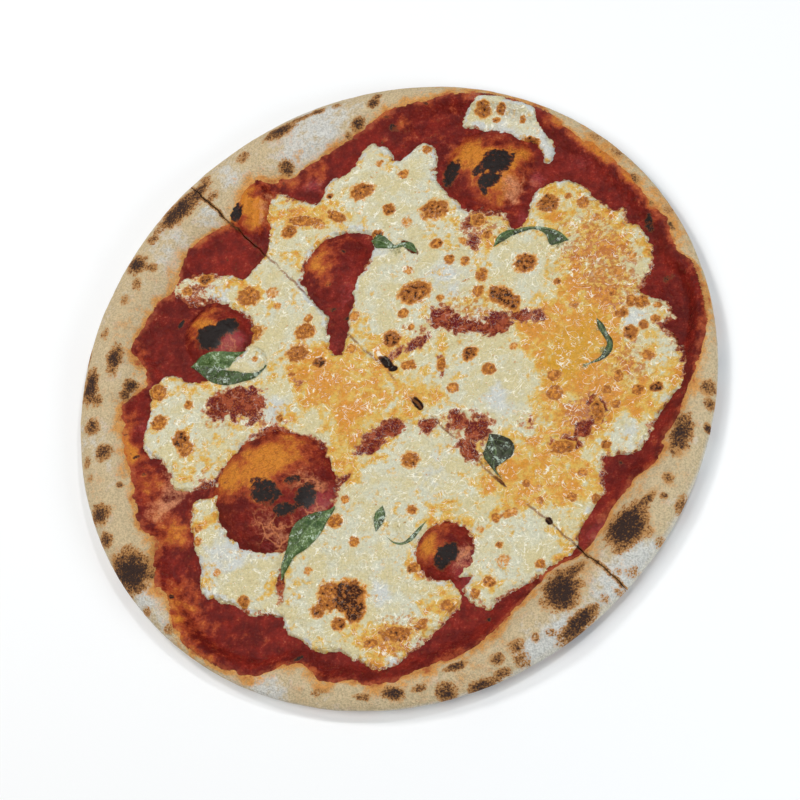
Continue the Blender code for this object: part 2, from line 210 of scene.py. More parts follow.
# Whiter, wetter places, and thin cheese through which the sauce shows.
WHITEST = [
    (28, 48, 12, 0.7), (-68, -80, 16, 0.7), (70, 110, 8, 1.0), (52, 121, 10, 0.7), (55, -12, 10, 0.8),
    (113, 23, 7, 0.7), (112, -28, 7, 0.7), (12, -128, 6, 0.8), (86, -83, 4, 1.0), (-82, 50, 8, 0.8),
    (-50, -12, 9, 0.7), (25, -45, 12, 0.5), (5, -98, 10, 0.6), (45, 30, 7, 0.6), (-6, 62, 8, 0.5),
    (40, 20, 6, 0.4), (45, 81, 3, 0.8),
]
THIN = [
    (-95, 52, 8, 0.7), (-100, 47, 6, 0.7), (-56, -18, 9, 0.6), (-48, -22, 7, 0.6), (-30, -30, 7, 0.5),
    (22, -23, 3.5, 1.0), (83, -36, 5, 0.8), (97, -22, 6, 0.9), (-40, 1, 3, 0.9), (27, 4, 3, 0.9),
    (39, 65, 6, 1.1), (36, 75, 5, 0.9), (68, -24, 6, 0.8), (68, 26, 6, 0.9), (30, -20, 6, 0.6),
    (110, -5, 5, 0.4), (124, 20, 6, 0.5), (107, 28, 6, 0.6), (112, 12, 5, 0.5), (-84, -44, 8, 0.6),
    (-50, 96, 6, 0.4), (43, 75, 7, 0.6), (118, 38, 4, 0.6), (-18, -60, 4, 0.4), (14, 22, 8, 0.5),
    (3, -78, 8, 0.25), (-90, 57, 6, 0.5), (-70, 26, 4, 0.5), (30, -92, 5, 0.4), (5, 15, 4, 0.5),
    (47, -38, 6, 0.5),
]
# Ragged places, where the cheese thins out slowly towards its edge.
RAGGED = [
    (40, 25, 22, 1.0), (40, -27, 14, 1.2), (0, -26, 12, 1.0), (-70, -8, 14, 0.9), (-52, -22, 10, 0.9),
    (-30, -30, 10, 0.9), (-20, -50, 8, 0.8), (100, 75, 16, 0.8), (115, 45, 12, 0.7), (130, 5, 16, 0.8),
    (100, -50, 16, 0.7), (-95, 52, 16, 0.9), (-65, 35, 12, 0.7), (-72, 24, 8, 0.7), (45, 78, 10, 0.8),
    (-90, -62, 8, 0.6), (-55, -106, 12, 0.4), (15, -125, 20, 0.5), (35, -112, 10, 0.6), (60, -98, 14, 0.6),
    (-42, 58, 8, 0.8), (-14, 60, 8, 0.8), (-15, 20, 8, 0.5), (-55, 98, 10, 0.5), (-78, -42, 8, 0.8),
    (-105, -38, 8, 0.6), (118, -30, 10, 0.6), (125, 25, 8, 0.6), (35, -65, 10, 0.5), (20, -92, 8, 0.5),
]
# Dry, rusty places, then yellow ones, then ones tinted by a leaf below.
ROUGH = [
    (92, 60, 26, 0.7), (105, 40, 18, 0.8), (112, 0, 14, 0.8), (92, -22, 14, 1.0), (48, 70, 9, 0.8),
    (-95, 54, 9, 0.6), (-50, -20, 12, 0.7), (-78, -12, 14, 0.6), (40, 28, 16, 0.8), (40, -27, 12, 0.8),
    (15, -118, 16, 0.8), (-50, 88, 12, 0.5),
]
YELLOW = [
    (86, 8, 15, 1.1), (78, -4, 9, 0.6), (96, 22, 9, 0.6), (60, 30, 7, 0.5), (72, -46, 11, 0.6),
    (40, 38, 6, 0.4), (-46, 84, 7, 0.5), (12, -118, 6, 0.4), (28, -100, 6, 0.4),
]
GREENISH = [
    (12, -70, 8, 0.35), (2.5, -65, 4, 0.8), (3, 64, 5, 0.6), (79, 62, 5, 0.8), (98.5, 18, 4, 0.6),
    (101, 7, 4, 0.7), (92, 1, 2.5, 0.8), (54, 64, 4, 0.6), (-62, 16, 5, 0.4), (51, -40, 6, 0.5),
    (57, 71, 3, 0.4), (-6, 68, 4, 0.5),
]
# Browned blisters: x, y, half length, half width, turn in degrees, darkness.
BLISTERS = [
    (-16, 96, 5.5, 4, 10, 0.75), (-2, 85, 2.8, 2.8, 0, 0.8), (4, 103, 2.2, 2.2, 0, 0.55),
    (-8, 110, 1.8, 1.7, 0, 0.4), (20, 83, 6, 4.6, 5, 0.75), (7, 78, 2.2, 2.6, 0, 0.35),
    (22, 65.5, 3, 2.2, 0, 0.65), (28.5, 57, 2.3, 2.3, 0, 0.6), (36, 55.5, 2, 2, 0, 0.7),
    (15, 115, 2.2, 2, 0, 0.6), (-32, 95, 1.6, 1.5, 0, 0.8), (9, 53, 2.5, 2, 0, 0.35),
    (-51, 78, 3.6, 3.2, 0, 0.75), (-7, 73, 2.5, 2, 0, 0.8), (13, 42, 7, 5, 10, 0.85),
    (8, 31.5, 2.3, 2.3, 0, 0.6), (12, 24.5, 1.5, 1.5, 0, 0.5), (3, 19.5, 4, 3.8, 0, 0.9),
    (-16, 32, 3, 2.4, 0, 0.4), (-16, 16, 2.6, 2.2, 0, 0.45), (-39, 26, 4.4, 3.8, 20, 0.7),
    (-42, 15.5, 4.8, 4.2, 0, 0.7), (-38, 32.5, 2, 2, 0, 0.5), (-31, 10, 3.2, 2.6, 0, 0.95),
    (-69, 46, 5.2, 4.6, 0, 0.65), (-57, 47, 3.2, 2.6, 0, 0.35), (-77, 37, 2, 2, 0, 0.5),
    (-66, 26, 6, 4, 30, 0.5), (-44, 5, 1.6, 1.5, 0, 0.6), (40, 10, 3.4, 3, 40, 0.9),
    (33, -6, 2.6, 2.3, 0, 0.5), (49, 2, 3, 2.8, 0, 0.65), (15, -39, 4, 3.6, 0, 0.7),
    (44, 48, 2.6, 3.2, 0, 0.65), (43, 40, 2.6, 2.8, 0, 0.6), (55, 36, 8, 4, -35, 0.95),
    (64, 52, 4.8, 4.2, 0, 0.9), (74, 81, 4.6, 4.2, 0, 0.85), (90, 80, 3, 2.6, 0, 0.6),
    (83, 84, 1.5, 1.5, 0, 0.6), (46, 68, 2.2, 2, 0, 0.7), (41, 76, 3.2, 2.8, 0, 0.75),
    (79, 42, 1.6, 1.5, 0, 0.7), (112, 15, 3.2, 3, 0, 0.75), (118, 18, 2, 2, 0, 0.7),
    (117, 29, 3.2, 2.8, 0, 0.6), (124, 27, 1.6, 1.5, 0, 0.5), (120, 3.5, 2.6, 2.3, 0, 0.7),
    (123.5, -11, 2.8, 2.4, 0, 0.95), (115.5, -12, 2.6, 2.4, 0, 0.7), (102, -11, 2.2, 2, 0, 0.6),
    (79, -11, 4, 3.4, 0, 0.5), (79, -3, 3, 2.6, 0, 0.5), (-110, 0, 4.2, 3.8, 0, 0.55),
    (-108, -15, 3.8, 3.6, 0, 0.65), (-96, -24, 3.8, 4.2, 30, 0.95), (-93, -29, 4, 3.6, 0, 0.65),
    (-94, -7, 2.2, 2, 0, 0.55), (-83, -73, 2, 2, 0, 0.45), (-83, -67, 2, 2, 0, 0.45),
    (-72, -88, 2, 1.8, 0, 0.3), (-58, -101, 3, 2.4, 0, 0.65), (-14, -56, 1.8, 1.8, 0, 0.5),
    (-8.5, -75.5, 2.3, 2.2, 0, 0.55), (17, -62, 2.3, 2, 0, 0.6), (-29, -88, 1.8, 1.8, 0, 0.4),
    (19, -88, 2.6, 2.3, 0, 0.7), (-18, -66, 3.4, 2.8, 0, 0.7), (-10, -100, 7.4, 7, 0, 1.15),
    (-18, -100, 5, 6.4, 20, 0.7), (-6, -107, 4.6, 4, 30, 1.1), (-23, -106, 3.2, 3, 0, 0.8),
    (-13, -112, 3, 2.8, 0, 0.8), (57, -79, 1.6, 1.5, 0, 0.5), (59, -86, 3, 2.6, 0, 0.3),
    (75, -88, 2.2, 2, 0, 0.7), (53, -95, 2.6, 2.3, 0, 0.65), (47, -100, 2.2, 2, 0, 0.6),
    (88, -59, 2.2, 2, 0, 0.6), (61, -65, 4, 2, 20, 0.4), (55, -67, 2, 2, 0, 0.55), (98, -60, 2, 2, 0, 0.6),
    (68, -52, 1.8, 1.7, 0, 0.7), (42, 132, 3.6, 3.2, 0, 0.75), (51, 131, 2.2, 2, 0, 0.7),
    (58, 135, 2.2, 2, 0, 0.65), (61, 125, 1.6, 1.5, 0, 0.5), (48, 127, 1.8, 1.5, 0, 0.5),
    (65, 113, 4, 3, -30, 0.9), (-24, 117, 4.4, 3, 40, 0.6), (-92, 57, 3.2, 2.8, 0, 0.85),
    (-101, 51, 2.2, 2, 0, 0.6), (-44, 83, 8, 2.6, -5, 0.6), (-28, 84, 5, 2.6, -30, 0.6),
    (-36, 80, 3, 2, 0, 0.4), (13, -117, 7, 3, 0, 0.7), (35, -105, 3, 2.6, 0, 0.5),
    (24, -113, 3, 2.2, 30, 0.6), (2, -121, 3, 2, 0, 0.6), (83, -36, 5, 3, 10, 0.7),
    (98, -20, 2.4, 5, 10, 0.7), (106, -18, 2.4, 2, 0, 0.6), (107, -5, 2, 3, 0, 0.6),
    (108, 25, 3, 2.4, 0, 0.6), (123, 21, 2, 1.6, 0, 0.6), (98, 45, 2.4, 2, 0, 0.4),
    (106, 44, 2, 2.4, 0, 0.4), (112, 52, 2.4, 2, 0, 0.4), (104, 35, 2, 2, 0, 0.5), (87, 30, 2.4, 2, 0, 0.4),
    (-48, -16, 1.8, 1.6, 0, 0.6), (-62, 13, 1.6, 1.4, 0, 0.4), (92, -48, 2.2, 2, 0, 0.5),
    (74, -60, 1.8, 1.6, 0, 0.5), (102, -36, 2.2, 1.8, 0, 0.6), (48, -72, 1.6, 1.5, 0, 0.4),
    (25, 38, 2, 1.6, 0, 0.5), (27, 6, 2, 3, 0, 0.7), (60, 12, 1.8, 1.6, 0, 0.4), (112, 30, 2, 2.6, 0, 0.6),
    (96, 72, 2.4, 2, 0, 0.4), (34, 66, 1.6, 1.6, 0, 0.4), (-22, 23, 2.4, 2, 0, 0.5),
    (12, 6, 3.4, 2.2, 0, 0.6), (-54, 40, 1.8, 1.6, 0, 0.35),
]
# Burnt holes, most of them on the cut, the same.
BURNT = [
    (1, 8.5, 4.4, 2.0, -40, 0.9), (4.5, 5, 2.2, 1.5, 0, 0.9), (17, -12.5, 3.4, 1.8, -50, 0.95),
    (78, -69, 1.8, 1.2, -40, 1.0), (56, -50.5, 4, 0.7, -43, 0.55), (9, 65, 5, 1.8, -45, 0.6),
]

# ---- Places of colour on the sauce ------------------------------------------------------------
# The char, the orange and the cherry red are given as the camera sees them against the level base, and
# on_bubbles moves them to where they lie. Only the ones called placed are given where they lie.
# Baked orange places: x, y, radius, strength.
ORANGE = [
    (-60, -38, 20, 1.0), (-42, -32, 16, 0.8), (-72, -45, 9, 0.8), (50, 94, 15, 1.0), (32, 112, 10, 0.8),
    (58, 108, 10, 0.8), (40, 108, 12, 0.9), (24, -80, 8, 1.1), (27, -71, 8, 0.8), (-94, 31, 9, 0.8),
    (-88, 38, 9, 0.7), (-72, 94, 12, 1.1), (-66, 86, 8, 0.9), (-80, 97, 7, 0.7), (-83, 86, 5, 0.6),
    (-108, -45, 10, 0.8), (-103, -60, 9, 0.7), (-93, -68, 9, 1.0), (-88, -100, 16, 0.7),
    (-121, -30, 9, 0.9), (-122, -12, 6, 0.6), (-121, 22, 6, 0.6), (-40, 108, 9, 0.7), (-55, 106, 8, 0.6),
    (40, -22, 8, 0.6), (-68, -2, 7, 0.6), (-78, -10, 5, 0.6), (-80, -116, 12, 0.4), (3, 128, 5, 0.3),
    (15, 132, 22, 0.25), (-60, -120, 20, 0.2), (100, 104, 8, 0.9), (90, 114, 7, 0.8), (112, 92, 8, 0.8),
    (122, 78, 7, 0.7), (76, 124, 7, 0.6), (131, 60, 6, 0.6),
]
ORANGE_PLACED = [
    (-36, 60, 10, 0.9), (-27, 68, 9, 0.5), (-31, 50, 7, 0.4),
]
# Pale, pinkish sheen painted on the right and lower flanks of the bubbles and a fold, the same.
PAINTED_SHEEN = [
    (57, 92, 7, 0.8), (57, 85, 4, 0.4), (-35, -47, 8, 0.4), (-27, -50, 5, 0.5), (-40, -76, 12, 0.5),
    (-27, -62, 9, 0.5), (-50, -66, 9, 0.4), (42, -84, 6, 0.8), (-76, 22, 6, 0.5), (-65, 85, 3.4, 0.8),
    (-64.5, 91, 3.4, 0.8), (-64, 97, 3, 0.7), (-96, -50, 9, 0.6), (-100, -38, 7, 0.5), (-104, -58, 8, 0.6),
]
# Cherry red, wet places the same.
CHERRY = [
    (-75, 26, 7, 1.0), (-80, 20, 6, 0.8), (-24, -56, 8, 1.0), (-30, -62, 8, 0.6), (42, -90, 7, 1.0),
    (43, -80, 5, 0.6), (56, 24, 5, 1.0), (33, 24, 5, 0.8), (-42, 103, 6, 0.7), (-22, 45, 8, 0.5),
    (-24, 20, 5, 0.5), (100, -75, 8, 0.8), (62, 75, 5, 0.7), (67, 95, 6, 0.7), (-50, -75, 9, 0.5),
    (38, 134, 7, 0.5), (105, 100, 5, 0.4), (-117, -16, 5, 0.5), (-112, 2, 5, 0.5), (30, -110, 9, 0.4),
    (88, 100, 9, 0.4),
]
# Burnt black places on the bubbles: x, y, half length, half width, turn in degrees, darkness.
SAUCE_CHAR = [
    (-52, -50, 7, 5.4, -15, 1.0), (-43, -58, 5, 3, 10, 1.0), (-40, -45, 4, 2, 20, 0.7),
    (-56.9, -45, 3, 2, 0, 0.6), (27, 102, 6.6, 4, 75, 1.1), (48, 105, 7, 6, 30, 1.1),
    (39, 101, 3, 2, 60, 0.9), (33, -81, 5.6, 4.2, 35, 1.1), (31, -85, 3, 3, 0, 1.0),
    (-87, 27, 6.6, 6, 20, 1.3), (-79, 32, 5.4, 3.8, 10, 1.25), (-79, 89.5, 4.6, 4.2, 20, 1.1),
    (-2, 128, 2, 2, 0, 0.6), (-103, 35, 0.9, 2.6, -25, 1.0), (120, 67, 2.2, 4, 0, 0.9),
    (-92, -98.5, 1, 1, 0, 0.9), (-30, -127, 2, 1, 30, 1.0), (108, -44, 1, 0.8, 0, 0.8),
    (53, -111, 1.4, 1.2, 0, 0.8), (-43, 47, 1.2, 2.6, -40, 0.6), (-24, 66, 1, 0.8, 0, 0.7),
    (-27, 37, 1.6, 1.2, 0, 0.6), (-20, 32, 1.2, 1, 0, 0.6), (-30, 50, 1.4, 1, 0, 0.4),
    (14, 138, 0.8, 0.6, 0, 0.8), (-5, 133, 2.4, 0.8, -10, 0.5), (-8, 122, 1.4, 0.9, 30, 0.5),
    (-100, 97, 0.8, 0.8, 0, 0.7), (-113, -40, 1.2, 0.8, 0, 0.6), (-118, -31, 1.8, 0.8, 30, 0.6),
    (128, 40, 3, 1.4, 30, 0.5),
]
SAUCE_CHAR_PLACED = [
    (-31, -55, 5.8, 4.2, 70, 1.1), (46.5, 94, 5.4, 3.4, 20, 1.1), (44, 90, 1.6, 3, 10, 0.9),
]

# ---- Places of colour on the rim --------------------------------------------------------------
# These are given as the camera sees them against a level plane, and on_rim moves them to where they
# lie. Only the ones called placed are given where they lie.
# Browned and charred spots: x, y, half length, half width, turn in degrees, darkness.
RIM_SPOTS = [
    (-60, 132, 7, 3.2, 24, 0.95), (-78, 120, 3.2, 2.6, 30, 0.5), (-55, 112.5, 3.6, 3.2, 20, 0.8),
    (-108, 95, 13, 5.2, 42, 1.0), (-99, 104, 6, 3, 42, 0.9), (-97, 109.9, 3, 2.4, 0, 0.5),
    (-121, 80, 3, 2.6, 0, 0.6), (-128, 67, 5, 4.4, 0, 1.0), (-121, 65, 4, 2, -10, 0.6),
    (-127, 57, 2.4, 3, 0, 0.5), (-132, 49, 2.4, 2.4, 0, 0.45), (-141, 32, 2.4, 3, 0, 0.45),
    (-134, 19, 3.2, 6.4, 0, 0.95), (-145, 5, 4, 7.4, 0, 1.0), (-141, -2, 3, 3, 0, 0.6),
    (-125, 5, 3, 2.4, 30, 1.05), (-127, 0, 2, 2, 0, 0.7), (-142, -15, 3.6, 3.4, 0, 0.75),
    (-134, -28, 3.8, 3.6, 0, 0.75), (-142, -33, 2.4, 3, 0, 0.45), (-124, -44, 1.5, 1.5, 0, 0.7),
    (-132, -58, 4.4, 4.2, 0, 0.95), (-128, -70, 3.6, 3.2, 0, 0.75), (-114, -86, 9.4, 7.6, -20, 1.15),
    (-104, -104, 2.2, 2.2, 0, 0.45), (-92, -112, 2.6, 2.2, 0, 0.45), (13, -141, 4.4, 2.4, -10, 1.0),
    (36, -141, 4, 3.4, 0, 0.85), (40, -130, 4.4, 1.5, 18, 0.95), (52, -139, 6, 2, 18, 0.9),
    (57, -127, 2.6, 2.4, 0, 0.65), (65, -122, 3.2, 2.6, 30, 0.6), (68, -128, 3.4, 2.8, 30, 0.45),
    (73, -118, 2, 2, 0, 0.35), (91, -113, 9, 2.8, 46, 1.05), (96, -107, 4, 1.6, 46, 0.6),
    (83, -98, 7.4, 7, 40, 1.15), (88, -91, 6, 2.6, 45, 0.8), (102, -103, 2, 2, 0, 0.3),
    (109, -101, 2.2, 2, 0, 0.3), (107, -91, 1.6, 1.5, 0, 0.35), (114, -92, 3, 2.4, 20, 0.35),
    (110, -72, 9.4, 6.4, 48, 1.15), (118, -61, 5, 1.6, 40, 0.8), (120, -75, 2.4, 2, 0, 0.35),
    (125, -80, 3, 1.6, 50, 0.35), (134, -64, 2, 4, -20, 0.6), (126, -59, 1.6, 1.5, 0, 0.6),
    (128, -51, 2.2, 2, 0, 0.65), (133, -32, 4, 8, -12, 0.95), (145, -31, 1.6, 2, 0, 0.95),
    (146, -20, 2.6, 2.6, 0, 0.6), (145, -12, 3, 3, 0, 0.65), (129, 65, 2.4, 1, -60, 0.8),
    (128, 73, 2, 2, 0, 0.4), (105, 104, 3, 2, -40, 0.45), (95, 113, 3, 2, -40, 0.4),
    (112, 90, 3, 2, -40, 0.7), (119, 77, 1.8, 1.5, 0, 0.9), (-13, 142, 2.6, 2.2, 30, 0.95),
    (-12, 146, 2, 1.6, 0, 0.7), (-32, 143, 2, 2, 0, 0.5), (-42, 141, 4, 1.6, 15, 0.7),
    (-20, 132, 3.4, 2.2, 40, 0.85), (-25, 127, 1.6, 1.5, 0, 0.6), (-50, 138, 5, 1.6, 20, 0.6),
    (120, -40, 5, 2, 60, 0.5), (137, -5, 2.4, 1.4, 70, 0.5), (-116, -75, 3, 2.4, 0, 0.5),
    (-140, -40, 2, 2, 0, 0.4), (0, -143, 4, 1.6, 0, 0.5), (-20, -141, 3, 1.6, 8, 0.4),
    (24, -139, 3, 1.5, 12, 0.6), (-148, 20, 1.6, 4, 0, 0.5), (60, -133, 4, 1.6, 25, 0.6),
    (-92, 100, 4, 2, 40, 0.5),
]
RIM_SPOTS_PLACED = [
    (81.5, -118.5, 2.4, 1.6, 10, 0.35),
]
# Warm tan mottling and pale floury places on the rim: x, y, radius, strength.
RIM_WARM = [
    (-130, 30, 16, 0.6), (-135, -5, 14, 0.4), (-122, 45, 8, 0.7), (-118, 60, 8, 0.5), (-130, 5, 12, 0.45),
    (-137, -45, 10, 0.5), (-120, -80, 12, 0.6), (-60, 128, 12, 0.5), (-108, 90, 14, 0.4),
    (-20, 128, 8, 0.7), (-50, 113, 9, 0.7), (-75, 105, 12, 0.4), (20, 147, 20, 0.7), (60, 138, 22, 1.2),
    (100, 108, 24, 1.4), (130, 70, 24, 1.2), (146, 20, 16, 0.8), (142, -15, 12, 0.8), (130, -45, 12, 0.7),
    (115, -60, 12, 0.9), (120, -75, 8, 0.6), (95, -85, 10, 0.8), (100, -95, 8, 0.4), (85, -95, 12, 0.8),
    (78, -108, 8, 0.5), (55, -122, 12, 0.6), (45, -132, 14, 0.8), (20, -140, 14, 0.6), (0, -144, 10, 0.5),
    (-30, -140, 10, 0.4), (-92, -120, 8, 0.5), (-125, -60, 8, 0.5), (-118, 20, 8, 0.8),
    (-80, -133, 10, 0.4),
]
RIM_FLOURY = [
    (-110, 76, 14, 0.5), (-40, 130, 20, 0.9), (-85, 112, 10, 0.6), (-106, -97, 8, 1.0),
    (-95, -108, 10, 0.5), (-125, -30, 8, 0.4), (105, -97, 12, 0.9), (90, -120, 12, 0.8), (122, -88, 8, 0.7),
    (-45, -143, 12, 0.8), (72, -128, 8, 0.6), (-143, -22, 6, 0.5), (-112, 50, 8, 0.3), (-99.9, -73, 6, 0.9),
    (-120, 2, 5, 0.7), (112, -82, 6, 0.4), (-55, 120, 10, 0.6), (-93, 92, 8, 0.7), (-138, -68, 8, 0.5),
    (-62, -138, 8, 0.5),
]
RIM_FLOURY_PLACED = [
    (84, -121, 7, 1.0), (94, -113, 6, 0.5), (110, -98, 7, 0.7), (118, -91, 7, 0.9), (124, -82, 6, 0.5),
    (76, -127, 7, 0.9),
]

# ---- Basil ------------------------------------------------------------------------------------
# Each leaf: its name, the solid's node that it stands for if it has one, how far it stands up from the
# food, how dark its left and right halves are, and its midrib as x, y, width to the left, width to the
# right.
LEAVES = [
    ("basil_leaf_west", ["basil_west"], 0.9, (0.0, 0.6), [
        (-95.5, 12.5, 0, 0), (-91, 13, 3.2, 3.6), (-86, 12.4, 5.8, 6.2), (-80, 10.6, 8, 7.8),
        (-74, 9, 9.4, 7.4), (-68, 8.8, 9.8, 6.0), (-62, 9.2, 7, 4.4), (-56.5, 10, 0, 0)]),
    ("basil_leaf_south_west", ["basil_south_west"], 1.4, (0.1, 0.5), [
        (-18.5, -59, 0, 0), (-21.5, -62, 1.6, 1.6), (-26, -65.5, 4.4, 3.6), (-30.5, -70.5, 5.4, 5.6),
        (-34, -75.2, 4.6, 5.0), (-37.6, -80.2, 2.4, 2.6), (-40.2, -86.5, 1.6, 1.6), (-41.4, -91.8, 0, 0)]),
    ("basil_leaf_north_east", ["basil_north_east"], 0.5, (0.3, 0.7), [
        (49, 61.5, 0, 0), (52, 65, 1.6, 1.7), (57, 67.8, 1.7, 1.9), (62, 69, 1.1, 1.3), (68, 69.2, 0.7, 0.7),
        (74, 68, 0.8, 2.6), (79, 65.4, 1.0, 6.2), (84, 61.5, 0, 0)]),
    ("basil_leaf_north", ["basil_north"], 0.4, (0.5, 0.4), [
        (-10.5, 70.5, 0, 0), (-6, 69.4, 2.8, 3.8), (-2, 67.4, 2.0, 2.4), (2, 65.6, 0.8, 0.9),
        (6, 66.6, 1.0, 1.4), (9.4, 65.4, 1.6, 1.8), (12.8, 61.4, 0, 0)]),
    ("basil_leaf_south_east", ["basil_south_east"], 0.9, (1.0, 0.75), [
        (50.5, -28.5, 0, 0), (52.6, -32.5, 5.4, 3.6), (54, -36.5, 8.0, 6.2), (53.6, -40.5, 5.0, 4.8),
        (53.4, -44.5, 0.8, 1.0), (55, -47.4, 0.35, 0.35), (57.2, -49.8, 0, 0)]),
    ("basil_leaf_east", ["basil_east"], 0.3, (0.8, 0.7), [
        (97, 23, 0, 0), (99, 19, 1.3, 1.4), (101, 15, 1.1, 1.2), (103.2, 11, 1.2, 1.4), (102.4, 7, 1.4, 1.7),
        (99.2, 3.6, 0.9, 0.9), (95, 2, 0.4, 0.4), (91.5, 1, 0, 0)]),
    ("basil_leaf_south", ["basil_south"], 0.3, (0.6, 0.5), [
        (3.6, -59.5, 0, 0), (3, -63, 2.0, 2.3), (2, -67, 2.1, 2.0), (1.2, -71.5, 0, 0)]),
    ("basil_leaf_edge", [], 0.2, (0.6, 0.6), [
        (6, -73.5, 0, 0), (10, -76.6, 0.4, 0.3), (14, -77, 0.6, 0.5), (17.4, -75.2, 1.2, 0.7),
        (20.4, -71.6, 0.9, 0.5), (24, -67, 0, 0)]),
]

# ---- Small mathematics ------------------------------------------------------------------------


def smooth(t):
    """An even rise from 0 to 1 with soft ends."""
    t = np.clip(t, 0, 1)
    return t * t * (3 - 2 * t)


def turned(x, y, degrees):
    """A place as seen from axes turned by some degrees."""
    cos, sin = math.cos(math.radians(degrees)), math.sin(math.radians(degrees))
    return x * cos + y * sin, y * cos - x * sin


NOISE_CELLS = 32
NOISE_GAIN = 1.7


def noise(points, size, seed, octaves=1):
    """Smooth random heights between about -1 and 1; size is the distance between hills."""
    random = np.random.default_rng(seed)
    slopes = random.normal(size=(NOISE_CELLS,) * 3 + (3,))
    slopes /= np.linalg.norm(slopes, axis=-1, keepdims=True)
    total, weight, weights = 0.0, 1.0, 0.0
    for octave in range(octaves):
        q = points / size * 2**octave + 7.3 * octave
        cell = np.floor(q).astype(np.int64)
        f = q - cell
        w = f * f * f * (f * (f * 6 - 15) + 10)
        value = 0.0
        for corner in np.ndindex(2, 2, 2):
            c = np.array(corner)
            index = (cell + c) % NOISE_CELLS
            slope = slopes[index[:, 0], index[:, 1], index[:, 2]]
            share = np.prod(np.where(c, w, 1 - w), axis=1)
            value = value + share * np.sum(slope * (f - c), axis=1)
        total = total + weight * value
        weights += weight
        weight *= 0.5
    return total / weights * NOISE_GAIN


def flat(x, y, z=0.0):
    """Points at one height."""
    return np.stack([x, y, np.full_like(x, z)], axis=1)


def rounded(outline, steps=5):
    """A smooth closed line through the points of an outline."""
    p = np.array(outline, float)
    before, after, second = np.roll(p, 1, 0), np.roll(p, -1, 0), np.roll(p, -2, 0)
    rows = []
    for t in np.arange(steps) / steps:
        bend = (2 * before - 5 * p + 4 * after - second) * t * t
        twist = (3 * p - before - 3 * after + second) * t**3
        rows.append(0.5 * (2 * p + (after - before) * t + bend + twist))
    return np.stack(rows, axis=1).reshape(-1, 2)


def smooth_rows(rows, reach, at):
    """Rows of numbers read from a smooth curve at some distances along it."""
    slopes = np.gradient(rows, reach, axis=0)
    i = np.clip(np.searchsorted(reach, at, side="right") - 1, 0, len(reach) - 2)
    span = (reach[i + 1] - reach[i])[:, None]
    t = (at - reach[i])[:, None] / span
    a, b, c, d = rows[i], rows[i + 1], slopes[i] * span, slopes[i + 1] * span
    out = a * (1 + 2 * t) * (1 - t) ** 2 + b * t * t * (3 - 2 * t)
    out = out + c * t * (1 - t) ** 2 - d * t * t * (1 - t)
    out[:, 2:] = np.maximum(out[:, 2:], 0)
    return out


def inside_distance(x, y, outline, margin=8.0):
    """Distance to an outline, positive inside and never below minus the margin."""
    line = rounded(outline)
    near = (x > line[:, 0].min() - margin) & (x < line[:, 0].max() + margin)
    near &= (y > line[:, 1].min() - margin) & (y < line[:, 1].max() + margin)
    px, py = x[near], y[near]
    best = np.full(px.shape, margin * margin)
    within = np.zeros(px.shape, bool)
    for (ax, ay), (bx, by) in zip(line, np.roll(line, -1, 0)):
        dx, dy = bx - ax, by - ay
        t = np.clip(((px - ax) * dx + (py - ay) * dy) / (dx * dx + dy * dy + 1e-12), 0, 1)
        best = np.minimum(best, (px - ax - t * dx) ** 2 + (py - ay - t * dy) ** 2)
        if dy:
            crosses = (ay > py) != (by > py)
            within ^= crosses & (px < ax + (py - ay) * dx / dy)
    distance = np.full(x.shape, -margin)
    distance[near] = np.where(within, 1, -1) * np.sqrt(best)
    return distance


PLACE_SPREAD = 0.72              # leaves a quarter of a soft place's strength at its radius


def soft_places(x, y, places):
    """Sum of soft round places, each given as x, y, radius, strength."""
    total = np.zeros_like(x)
    for px, py, radius, strength in places:
        total += strength * np.exp(-((x - px) ** 2 + (y - py) ** 2) / (PLACE_SPREAD * radius * radius))
    return total


def spot_field(x, y, spots, wobble, blur):
    """Darkness of the spots, how near a point is to one (1 on it, 0 half its size outside), their rings."""
    dark, near, ring = np.zeros_like(x), np.zeros_like(x), np.zeros_like(x)
    for sx, sy, long, wide, turn, darkness in spots:
        reach = 2.2 * max(long, wide) + 2
        close = (np.abs(x - sx) < reach) & (np.abs(y - sy) < reach)
        a, b = turned(x[close] - sx, y[close] - sy, turn)
        away = np.hypot(a / long, b / wide) + wobble[close]
        dark[close] = np.maximum(dark[close], darkness * smooth((1 + blur - away) / (2 * blur)))
        near[close] = np.maximum(near[close], min(1, darkness + 0.3) * smooth((1.5 - away) / 0.5))
        ring[close] = np.maximum(ring[close], np.exp(-(((away - 0.88) / 0.2) ** 2)))
    return dark, near, ring


# ---- The pizza's surface ----------------------------------------------------------------------
EDGE_DEGREES = np.arange(0, 360, 0.25)
EDGE_SOFTENING = 6


def edge_table():
    """The sauce's edge in every direction, softened a little between the named places."""
    places = np.array(SAUCE_EDGE + [(SAUCE_EDGE[0][0] + 360, SAUCE_EDGE[0][1])], float)
    radius = np.interp(EDGE_DEGREES, places[:, 0], places[:, 1])
    kernel = np.hanning(2 * EDGE_SOFTENING + 1)
    wide = np.concatenate([radius[-EDGE_SOFTENING:], radius, radius[:EDGE_SOFTENING]])
    return np.convolve(wide, kernel / kernel.sum(), "valid")


EDGE_RADIUS = edge_table()


def sauce_edge(angle):
    """Radius of the sauce's edge in a direction."""
    return np.interp(np.degrees(angle) % 360, EDGE_DEGREES, EDGE_RADIUS, period=360)


